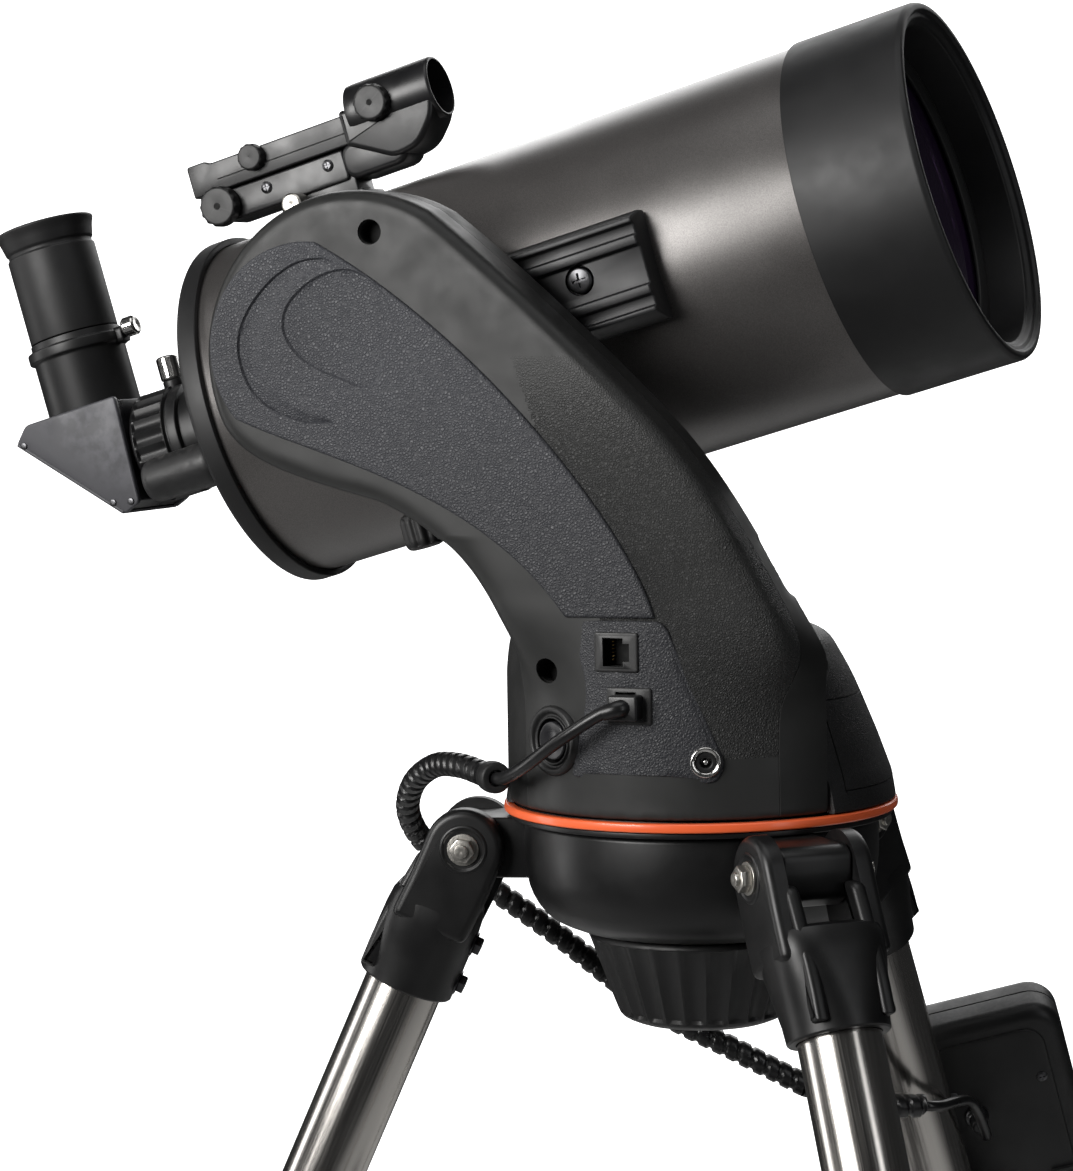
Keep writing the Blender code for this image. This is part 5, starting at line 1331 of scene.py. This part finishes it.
def add_leg(letter):
    place, body, steel = LEGS[letter], f"leg_{letter}", LEG_STEEL[letter]
    axis = (LEG_OFFSET, 0, 0)
    shape = lofted([(16.3, 16.3, 2, -63.5), (19.0, 19.0, 2, -63.5), (19.6, 19.6, 2, -62.8),
                    (19.8, 19.9, 2.1, -56), (19.6, 21.4, 2.5, -44), (19.2, 22.5, 3.0, -34),
                    (18.6, 22.6, 3.2, -28), (17.4, 21.8, 3.2, -24.6), (15.0, 19.8, 3.2, -23.0),
                    (9, 12, 3, -22.6), (0.01, 0.01, 2, -22.6), (0.01, 0.01, 2, -26.6),
                    (16.3, 16.3, 2, -26.6)], axis)
    ear_sides = [(-15.8, -18, 3), (-14.6, -36, 4), (17.0, -36, 4), (15.9, -18, 3)]
    ear_outline = rounded(arc((0, 0), 15.8, 0, 180, 24) + ear_sides, 0, 5)
    for side in (-1, 1):
        ear = plate(ear_outline, "Y", 14.6, 22.4, 3.2, 6, both=False)
        shape = merged(shape, moved(ear, Matrix.Scale(side, 4, (0, 1, 0))))
        ridge = rounded([(LEG_OFFSET + 12, -60), (LEG_OFFSET + 18.4, -60, 1), (LEG_OFFSET + 18.6, -44, 8),
                         (16.6, -8, 5), (8, -6)], 1, 5)
        shape = merged(shape, moved(plate(anticlockwise(ridge), "Y", 10.6, 16.4, 2.2, 5),
                                    Matrix.Scale(side, 4, (0, 1, 0))))
    shape = merged(shape, box((-8, -16, -31), (15, 16, -22.8), "Y", 2.5, 0.5))
    piece(f"leg_{letter}_yoke", shape, place, body, HEAD, [f"leg_{letter}_socket"])
    for side, end in ((-1, "near"), (1, "far")):
        hinge = place @ Matrix.Rotation(-side * pi / 2, 4, "X")
        piece(f"leg_{letter}_hinge_nut_{end}", bolt_head(8.8, 4.8, 1.5),
              hinge @ Matrix.Translation((0, 0, 22.4)), body, NUT_STEEL, ())
        recess = turned([(0, 21.4), (9.8, 21.4), (9.8, 22.6, 0.5), (8.6, 23.0, 0.4), (7.8, 22.5, 0.3),
                         (0, 22.5)], segments=64, radius=0.2)
        piece(f"leg_{letter}_hinge_rim_{end}", recess, hinge, body, HEAD, ())
    for number, height in enumerate((-38, -55), 1):
        seat = place @ Matrix.Translation((LEG_OFFSET - 19.2, 0, height)) @ Matrix.Rotation(-pi / 2, 4, "Y")
        piece(f"leg_{letter}_clamp_bolt_{number}", bolt_head(7.0, 3.6), seat, body, STEEL_DARK, ())

    bore = LEG_RADIUS - 1.5
    tube = [(bore, -27), (LEG_RADIUS, -27), (LEG_RADIUS, -600), (bore, -600)]
    piece(f"leg_{letter}_upper_tube", turned(tube, "Z", axis, 96, 0.2), place, body, steel,
          [f"leg_{letter}_tube"])
    collar = [(13.0, -638), (19.6, -638, 1.2), (21, -634, 1), (21, -600, 1.5), (18.4, -593, 1.2),
              (16.1, -592.2, 0.4), (16.1, -603), (13.0, -603)]
    boss = box((LEG_OFFSET + 16, -9, LOCK_HEIGHT - 11), (LEG_OFFSET + 27.6, 9, LOCK_HEIGHT + 11), "X", 5, 1.2)
    collar = merged(turned(collar, "Z", axis, 96, 0.4), boss)
    piece(f"leg_{letter}_collar", collar, place, body, KNOB, ())
    pivot = LEGS[letter].inverted() @ joint_place(f"leg_{letter}_brace_swing")
    lug = rounded([(pivot.x - 7, pivot.z - 6, 4), (LEG_OFFSET - 14, pivot.z - 14, 3),
                   (LEG_OFFSET - 14, pivot.z + 14, 3), (pivot.x - 7, pivot.z + 6, 4)], 3, 5)
    band = turned([(16.0, pivot.z - 16), (17.2, pivot.z - 16, 0.5), (17.2, pivot.z + 16, 0.5),
                   (16.0, pivot.z + 16)], "Z", axis, 80, 0.2)
    piece(f"leg_{letter}_brace_lug", merged(plate(anticlockwise(lug), "Y", -5, 5, 0.8), band), place, body,
          KNOB, ())

    lower = f"leg_{letter}_lower"
    inner = EXTENSION_RADIUS
    rod_shape = turned([(inner - 1.5, -250), (inner, -250), (inner, -735), (inner - 1.5, -735)], "Z", axis,
                       80, 0.2)
    piece(f"leg_{letter}_lower_tube", rod_shape, place, lower, steel, [f"leg_{letter}_extension"])
    piece(f"leg_{letter}_foot", foot_shape(place), place, lower, RUBBER, ())
    knob = [(0, 13.2), (2.9, 13.2), (2.9, 27.8), (7, 28.2, 0.6), (12.3, 29.6, 1), (12.5, 37.5, 1),
            (10.6, 39.6, 1.2), (0, 40)]
    shape = turned(knob, "X", (0, 0, LOCK_HEIGHT), 160, 0.3, ribs(10, 1.6, 28.9, 38.6, 1.4))
    lock = place @ Matrix.Translation((LEG_OFFSET, 0, 0))
    piece(f"leg_{letter}_lock_grip", shape, lock, f"leg_{letter}_lock", KNOB, [f"leg_{letter}_lock_knob"])


def foot_shape(place):
    """Rubber boot whose sole lies flat on the floor."""
    shape = bmesh.new()
    down = place.to_3x3().normalized().transposed() @ Vector((0, 0, -1))
    tilt = atan2(-down.x, -down.z)
    count = 64
    rings = []
    boot = ((12.9, -714.5), (13.6, -713.5), (14.6, -714.5), (15.4, -717.5), (15.4, -722), (14.2, -724),
            (14.2, -727), (15.4, -729), (15.5, -740))
    for radius, height in boot:
        rings.append([shape.verts.new((LEG_OFFSET + radius * cos(2 * pi * k / count),
                                       radius * sin(2 * pi * k / count), height)) for k in range(count)])
    floor_at = -760.0
    for radius, rise in ((15.4, 1.2), (15.0, 0.35), (14.4, 0.0)):
        ring = []
        for k in range(count):
            across = radius * cos(2 * pi * k / count)
            ring.append(shape.verts.new((LEG_OFFSET + across * cos(tilt), radius * sin(2 * pi * k / count),
                                         floor_at - across * sin(tilt) + rise)))
        rings.append(ring)
    return bridge(shape, rings)


def add_brace(letter):
    pivot = joint_place(f"leg_{letter}_brace_swing")
    hub = HUB.translation + 0.030 * Vector((cos(radians(LEG_AZIMUTHS[letter])),
                                            sin(radians(LEG_AZIMUTHS[letter])), 0))
    outward = (pivot - hub).normalized()
    pin = joint_axis(f"leg_{letter}_brace_swing")
    place = placing(pivot, outward, pin, outward.cross(pin))
    length = (pivot - hub).length / MM
    bar = box((-length + 2.5, -5.6, -2.2), (-15, 5.6, 2.2), "X", 1.2, 0.8)
    ridges = [box((-length + 14, y - 0.8, 2.0), (-30, y + 0.8, 3.1), "X", 0.5, 0.4) for y in (-4.6, 4.6)]
    fork = [box((-24, low, -6), (6, high, 6), "Y", 3.5, 0.5) for low, high in ((-8, -5.5), (5.5, 8))]
    knuckle = box((-24, -8, -4.4), (-13.5, 8, 4.4), "Y", 2, 0.8)
    shape = merged(bar, *ridges, *fork, knuckle)
    body = f"leg_{letter}_brace"
    piece(f"leg_{letter}_brace_bar", shape, place, body, KNOB, [f"leg_{letter}_brace"])
    rivet = turned([(0, -8.8), (2.4, -8.8, 0.6), (2.9, -7.9), (1.9, -7.9), (1.9, 7.9), (2.9, 7.9),
                    (2.4, 8.8, 0.6), (0, 8.8)], "Y", (0, 0, 0), 32, 0.3)
    piece(f"leg_{letter}_brace_pin", rivet, place, body, CHROME, ())


def add_hub():
    outline = []
    for azimuth in sorted(a % 360 for a in LEG_AZIMUTHS.values()):
        ahead = Vector((cos(radians(azimuth)), sin(radians(azimuth))))
        across = Vector((-ahead.y, ahead.x))
        for along, sideways in ((43, -7.4), (8.6, -7.4), (8.6, 7.4), (43, 7.4)):
            outline.append((*(along * ahead + sideways * across), 1.5))
        outline += [(*p, 0) for p in arc((0, 0), 43.6, azimuth + 12, azimuth + 108, 20)]
    disc = merged(plate(anticlockwise(rounded(outline, 0, 3)), "Z", -9, 7, 1.2),
                  turned([(0, 5), (5, 5), (5, 21.6), (0, 21.6)], segments=48, radius=0.3))
    piece("spreader_hub", disc, HUB, "brace_hub", KNOB, ["brace_hub"])
    tray = [(5.4, 18), (84, 18, 3), (89, 20, 3), (92, 27, 1), (91.4, 28, 0.4), (90, 28, 0.6),
            (87.4, 22.6, 2), (83, 21, 2), (5.4, 21)]
    shape = turned(tray, segments=180, radius=0.4)
    cutters = []
    for turn in (20, 140, 260):
        x, y = 56 * cos(radians(turn)), 56 * sin(radians(turn))
        cutters.append(turned([(0, 10), (16.2, 10), (16.2, 30), (0, 30)], centre=(x, y, 0), segments=64,
                              radius=0))
        x, y = 70 * cos(radians(turn + 60)), 70 * sin(radians(turn + 60))
        cutters.append(turned([(0, 19.6), (12, 19.6), (12, 30), (0, 30)], centre=(x, y, 0), segments=48,
                              radius=0))
    piece("tray_dish", drilled(shape, *cutters), HUB, "brace_hub", KNOB, ["accessory_tray"])
    for turn in (20, 140, 260):
        lip = turned([(16.3, 20.6), (18.2, 20.6), (17.8, 22.2, 0.6), (16.3, 22.2, 0.4)],
                     centre=(56 * cos(radians(turn)), 56 * sin(radians(turn)), 0), segments=64, radius=0.2)
        piece(f"tray_lip_{turn}", lip, HUB, "brace_hub", KNOB, ())
    cap = [(0, 20.8), (15, 20.8, 1), (16, 24, 2), (13, 27.4, 2), (0, 27.9)]
    piece("tray_knob", turned(cap, segments=144, radius=0.4, wave=ribs(12, 1.2, 21.4, 27.0, 1.2)), HUB,
          "brace_hub", KNOB, ())


# ---------------------------------------------------------------- hand controller and cord

def add_controller():
    w, d, h = local(CONTROLLER, "hand_controller")[1]
    shell = plate(rectangle((-w, -h), (w, h), 13, 10), "Y", -d, d, 6.0, 6)
    groove = plate(rectangle((-w - 1, -h - 1), (w + 1, h + 1), 13, 10), "Y", 1.0, 1.9, 0)
    core = plate(rectangle((-w + 1.2, -h + 1.2), (w - 1.2, h - 1.2), 12, 10), "Y", 0.4, 2.6, 0)
    pocket = box((-w + 13.6, d - 4.5, -h + 25.6), (w - 13.6, d + 5, h - 61.6), "Y", 3, 0)
    screen = box((-w + 13, d - 1.4, h - 50), (w - 13, d + 5, h - 24), "Y", 2, 0)
    shell = merged(drilled(shell, groove, pocket, screen), core)
    piece("controller_shell", shell, CONTROLLER, "hand_controller", CONTROLLER_BLACK, ["hand_controller"])
    glass = box((-w + 13.4, d - 1.4, h - 49.6), (w - 13.4, d - 0.3, h - 24.4), "Y", 1.8, 0.3)
    piece("controller_display", glass, CONTROLLER, "hand_controller", LENS, ())
    keys = [box((-w + 14.4, d - 2.4, -h + 26.4), (w - 14.4, d - 1.2, h - 62.4), "Y", 3, 0.3)]
    for row in range(5):
        for column in range(3):
            x, z = -12.4 + 12.4 * column, -h + 34 + 13.2 * row
            keys.append(box((x - 4.6, d - 1.6, z - 3.6), (x + 4.6, d + 0.9, z + 3.6), "Y", 3, 0.8))
    piece("controller_keys", merged(*keys), CONTROLLER, "keypad", RUBBER, ["keypad"])
    back = plate(rectangle((-w + 9, -h + 14), (w - 9, h - 9), 9, 8), "Y", -d - 1.0, -d + 1.2, 0.8)
    piece("controller_back_rim", back, CONTROLLER, "hand_controller", CONTROLLER_BLACK, ())
    for number, (x, z) in enumerate(((w - 14, h - 34), (-w + 14, h - 34)), 1):
        place = CONTROLLER @ Matrix.Translation((x, -d - 1.0, z)) @ TO_SIDE
        phillips(f"controller_screw_{number}", place, 2.4, 0.8, "hand_controller", STEEL_DARK)

    cradle = plate(rectangle((-w - 4, -d - 4), (w + 4, d + 4), 6, 6), "Z", -h - 5, -h + 78, 1.4)
    window = box((-w + 8, d - 2, -h + 20), (w - 8, d + 9, h), "Y", 5, 0)
    slot_cut = box((-w + 20, -d - 9, -h + 34), (w - 20, -d + 1, h), "Y", 5, 0)
    bay = plate(rectangle((-w - 0.7, -d - 0.7), (w + 0.7, d + 0.7), 3, 3), "Z", -h - 0.9, h, 0)
    cradle = drilled(cradle, bay, window, slot_cut)
    leg = CONTROLLER.inverted() @ (LEGS["c"] @ Vector((LEG_OFFSET, 0, -190)))
    clamp = turned([(LEG_RADIUS + 0.4, -30), (LEG_RADIUS + 4.4, -30, 1), (LEG_RADIUS + 4.4, 2, 1),
                    (LEG_RADIUS + 0.4, 2)], "Z", (leg.x, leg.y, 0), 96, 0.4)
    strut = box((min(leg.x, 0) - 2, leg.y + LEG_RADIUS + 1, -27), (leg.x + 10, -d - 2.4, -1), "X", 2, 1.2)
    piece("controller_cradle", merged(cradle, clamp, strut), CONTROLLER, "leg_c", KNOB, ["controller_holder"])


LEAD = [(-1, -83, 46), (-9, -85, 44), (-27, -84, 33), (-44, -76, 22), (-58, -65, 15.5), (-70, -53, 15)]
WRAPPED = [(-64, -59, 15), (-72, -50, 15), (-88, -36, 16), (-107, -17, 13), (-124, 0, 3), (-134, 17, -12),
           (-132, 33, -28), (-114, 46, -44), (-84, 56, -67), (-46, 63, -96), (-12, 73, -115), (14, 86, -131)]
LEG_LOOP = [(14, 86, -131), (38, 102, -141), (56, 118, -144)]
CORD_RADIUS, WRAP_RADIUS, WRAP_GROOVE = 2.5, 5.0, 1.05


def cord_path(points, radius, steps):
    return spline([(*point, radius) for point in points], steps)


def wrap(points, sides=30, pitch=6.4, gap=0.2):
    """Spiral binding round a bundle: a helical groove runs between its turns."""
    shape = bmesh.new()
    side = Vector((0, 0, 1))
    travelled = 0.0
    rings = []
    for index, point in enumerate(points):
        if index:
            travelled += (point.xyz - points[index - 1].xyz).length
        ahead = (points[min(index + 1, len(points) - 1)].xyz - points[max(index - 1, 0)].xyz).normalized()
        side = (side - ahead * side.dot(ahead)).normalized()
        across = ahead.cross(side)
        ring = []
        for k in range(sides):
            phase = (travelled / pitch - k / sides) % 1.0
            rise = smoothstep((phase - gap) / 0.12) * smoothstep((1.0 - phase) / 0.12) if phase > gap else 0.0
            radius = point.w - WRAP_GROOVE * (1 - rise)
            ring.append(shape.verts.new(point.xyz + radius * (cos(2 * pi * k / sides) * side
                                                              + sin(2 * pi * k / sides) * across)))
        rings.append(ring)
    return bridge(shape, rings)


def blended(made):
    """Takes a piece off its body and bakes its place into its mesh, so that it rides on no body."""
    made.parent = None
    del made["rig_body"]
    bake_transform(made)


def add_cord():
    low, high = local(CONTROLLER, "hand_controller")
    plug = MOUNT.inverted() @ (CONTROLLER @ Vector((-12, low.y - 1.5, high.z - 46)))
    away = (MOUNT.inverted().to_3x3() @ CONTROLLER.to_3x3() @ Vector((0, -1, 0))).normalized()
    boot = box((-7.2, -84, 41), (4.6, -75.5, 50.6), "Y", 1.2, 0.8)
    strain = sweep(spline([(-1, -82, 46, 3.6), (-3, -85, 45.6, 3.3), (-8, -86, 44.2, 2.9)], 5), 20)
    piece("hand_plug", merged(boot, strain), MOUNT, "fork_arm", CORD, ())
    lead = piece("cord_lead", sweep(cord_path(LEAD, CORD_RADIUS, 10), 20), MOUNT, "fork_arm", CORD,
                 ["control_cord"])
    blended(lead)
    bundle = cord_path(WRAPPED, WRAP_RADIUS, 52)
    piece("cord_bundle", wrap(bundle), MOUNT, "tripod_head", CORD, ())
    tie = [(3.2, -4.5), (6.0, -4.5, 1), (6.4, 0, 2), (6.0, 4.5, 1), (3.2, 4.5)]
    ahead = (bundle[8].xyz - bundle[0].xyz).normalized()
    tie_place = MOUNT @ Matrix.Translation(bundle[4].xyz) @ ahead.to_track_quat("Z", "Y").to_matrix().to_4x4()
    piece("cord_clip", turned(tie, segments=48, radius=0.4), tie_place, "tripod_head", KNOB, ())
    loop = piece("cord_leg_loop", wrap(cord_path(LEG_LOOP, WRAP_RADIUS, 60)), MOUNT, "leg_c", CORD, ())
    blended(loop)
    tail = [LEG_LOOP[-1], (62, 124, -145), (69, 148, -148), tuple(plug + away * 12 + Vector((3, 0, -2))),
            tuple(plug)]
    end = piece("cord_tail", sweep(cord_path(tail, CORD_RADIUS * 0.92, 12), 20), MOUNT, "leg_c", CORD, ())
    blended(end)
    boot_place = MOUNT @ Matrix.Translation(plug) @ away.to_track_quat("Z", "Y").to_matrix().to_4x4()
    relief = [(0, -2), (5.4, -2), (5.2, 1.5, 0.8), (3.6, 3, 0.8), (3.2, 9, 0.6), (2.4, 9.6), (0, 9.6)]
    piece("cord_boot", turned(relief, segments=48, radius=0.3), boot_place, "hand_controller", CORD, ())


# ---------------------------------------------------------------- stage

CAMERA_PLACE = (468.7, -1340.6, 195.4)
CAMERA_YAW, CAMERA_PITCH, CAMERA_ROLL = -21.83, -4.38, -1.07
CAMERA_LENS = 111.0
FLOOR_RADIUS = 1.6
LIGHTS = {
    # name: (place in the mount frame, aimed at, size in metres, watts, spread in degrees, colour)
    "key": ((-690, -1380, 600), (0, 0, 300), (0.8, 0.8), 5.9, 75, (1.0, 0.99, 0.975)),
    "top": ((150, -350, 1500), (0, 0, 150), (1.3, 1.0), 6, 180, (1.0, 1.0, 1.0)),
    "right": ((1500, -700, 420), (0, 0, 0), (0.3, 1.5), 3, 180, (0.98, 0.99, 1.0)),
    "left": ((-1500, -250, 250), (0, 0, 0), (0.35, 1.6), 6, 180, (1.0, 0.99, 0.98)),
    "back": ((-300, 1500, 900), (0, 0, 50), (1.6, 1.0), 14, 180, (1.0, 1.0, 1.0)),
}


def add_camera():
    yaw, pitch, roll = radians(CAMERA_YAW), radians(CAMERA_PITCH), radians(CAMERA_ROLL)
    ahead = Vector((sin(yaw) * cos(pitch), cos(yaw) * cos(pitch), sin(pitch)))
    right = ahead.cross(UP).normalized()
    above = right.cross(ahead)
    tilted_right = cos(roll) * right + sin(roll) * above
    tilted_up = cos(roll) * above - sin(roll) * right
    camera = bpy.data.objects.new("camera", bpy.data.cameras.new("camera"))
    camera.data.lens = CAMERA_LENS
    camera.data.clip_start = 0.05
    turn = Matrix((tilted_right, tilted_up, -ahead)).transposed()
    camera.matrix_world = Matrix.Translation(MOUNT @ Vector(CAMERA_PLACE)) @ turn.to_4x4()
    bpy.context.scene.collection.objects.link(camera)
    bpy.context.scene.camera = camera
    bpy.context.scene.view_settings.view_transform = "Standard"


def add_lights():
    for name, (place, target, size, power, spread, colour) in LIGHTS.items():
        lamp = bpy.data.lights.new(name, "AREA")
        lamp.shape = "RECTANGLE"
        lamp.size, lamp.size_y = size
        lamp.energy = power
        lamp.spread = radians(spread)
        lamp.color = colour
        holder = bpy.data.objects.new(name, lamp)
        position = MOUNT @ Vector(place)
        aim = (position - MOUNT @ Vector(target)).to_track_quat("Z", "Y")
        holder.matrix_world = Matrix.Translation(position) @ aim.to_matrix().to_4x4()
        bpy.context.scene.collection.objects.link(holder)


def add_world():
    """A white studio to the eye, and a dimmer one to the reflections."""
    world = bpy.data.worlds.new("studio")
    world.use_nodes = True
    bpy.context.scene.world = world
    nodes, links = world.node_tree.nodes, world.node_tree.links
    seen = nodes["Background"]
    seen.inputs["Color"].default_value = (1, 1, 1, 1)
    seen.inputs["Strength"].default_value = 2.0
    lit = nodes.new("ShaderNodeBackground")
    lit.inputs["Color"].default_value = (0.96, 0.98, 1.0, 1)
    lit.inputs["Strength"].default_value = 0.025
    path = nodes.new("ShaderNodeLightPath")
    mix = nodes.new("ShaderNodeMixShader")
    links.new(path.outputs["Is Camera Ray"], mix.inputs["Fac"])
    links.new(lit.outputs["Background"], mix.inputs[1])
    links.new(seen.outputs["Background"], mix.inputs[2])
    links.new(mix.outputs["Shader"], nodes["World Output"].inputs["Surface"])


def add_floor():
    """A pale floor that runs out into the white of the studio."""
    shape = bmesh.new()
    bmesh.ops.create_circle(shape, cap_ends=True, segments=96, radius=FLOOR_RADIUS)
    mesh = bpy.data.meshes.new("floor")
    shape.to_mesh(mesh)
    shape.free()
    floor = bpy.data.objects.new("floor", mesh)
    floor.location.z = -0.0005
    pale = Finish("pale_floor", (0.84, 0.84, 0.835), 0.6)
    pale.roughen(0.55, 0.65, 200.0)
    away = pale.node("ShaderNodeVectorMath", operation="LENGTH")
    pale.link(pale.node("ShaderNodeTexCoord").outputs["Object"], away.inputs[0])
    mix = pale.node("ShaderNodeMixShader")
    pale.link(pale.ramp(away.outputs["Value"], 0.6 * FLOOR_RADIUS, FLOOR_RADIUS), mix.inputs["Fac"])
    glow = pale.node("ShaderNodeEmission")
    seen = pale.node("ShaderNodeLightPath").outputs["Is Camera Ray"]
    pale.link(pale.ramp(seen, 0.0, 1.0, 0.0, 0.42), glow.inputs["Strength"])
    both = pale.node("ShaderNodeAddShader")
    pale.link(pale.shader.outputs["BSDF"], both.inputs[0])
    pale.link(glow.outputs["Emission"], both.inputs[1])
    pale.link(both.outputs["Shader"], mix.inputs[1])
    pale.link(pale.node("ShaderNodeBsdfTransparent").outputs["BSDF"], mix.inputs[2])
    pale.link(mix.outputs["Shader"], pale.tree.nodes["Material Output"].inputs["Surface"])
    mesh.materials.append(pale.material)
    bpy.context.scene.collection.objects.link(floor)


def finish_inner_nodes():
    """CAD pieces that stay as they are get a better material."""
    board = moulded("board_green", (0.02, 0.15, 0.06), 0.35, 1.5, 0.05)
    motor = machined("motor_plating", (0.5, 0.5, 0.5), 0.3, None, (1, 30, 1))
    finishes = {"circuit_board": board, "azimuth_motor": motor, "altitude_motor": motor,
                "battery_pack": KNOB, "azimuth_gear": BRASS, "azimuth_pinion": BRASS,
                "altitude_gear": BRASS, "altitude_pinion": BRASS, "diagonal_prism": GLASS}
    for node, finish in finishes.items():
        materials = frame["nodes"][node].data.materials
        if len(materials):
            materials[0] = finish
        else:
            materials.append(finish)


def main():
    add_arm()
    add_cover_panel()
    add_ports()
    add_drive_base()
    add_tube()
    add_focuser()
    add_diagonal()
    add_dovetail()
    add_finder()
    add_tripod_head()
    for letter in "abc":
        add_leg(letter)
        add_brace(letter)
    add_hub()
    add_controller()
    add_cord()
    finish_inner_nodes()
    add_camera()
    add_lights()
    add_world()
    add_floor()


main()
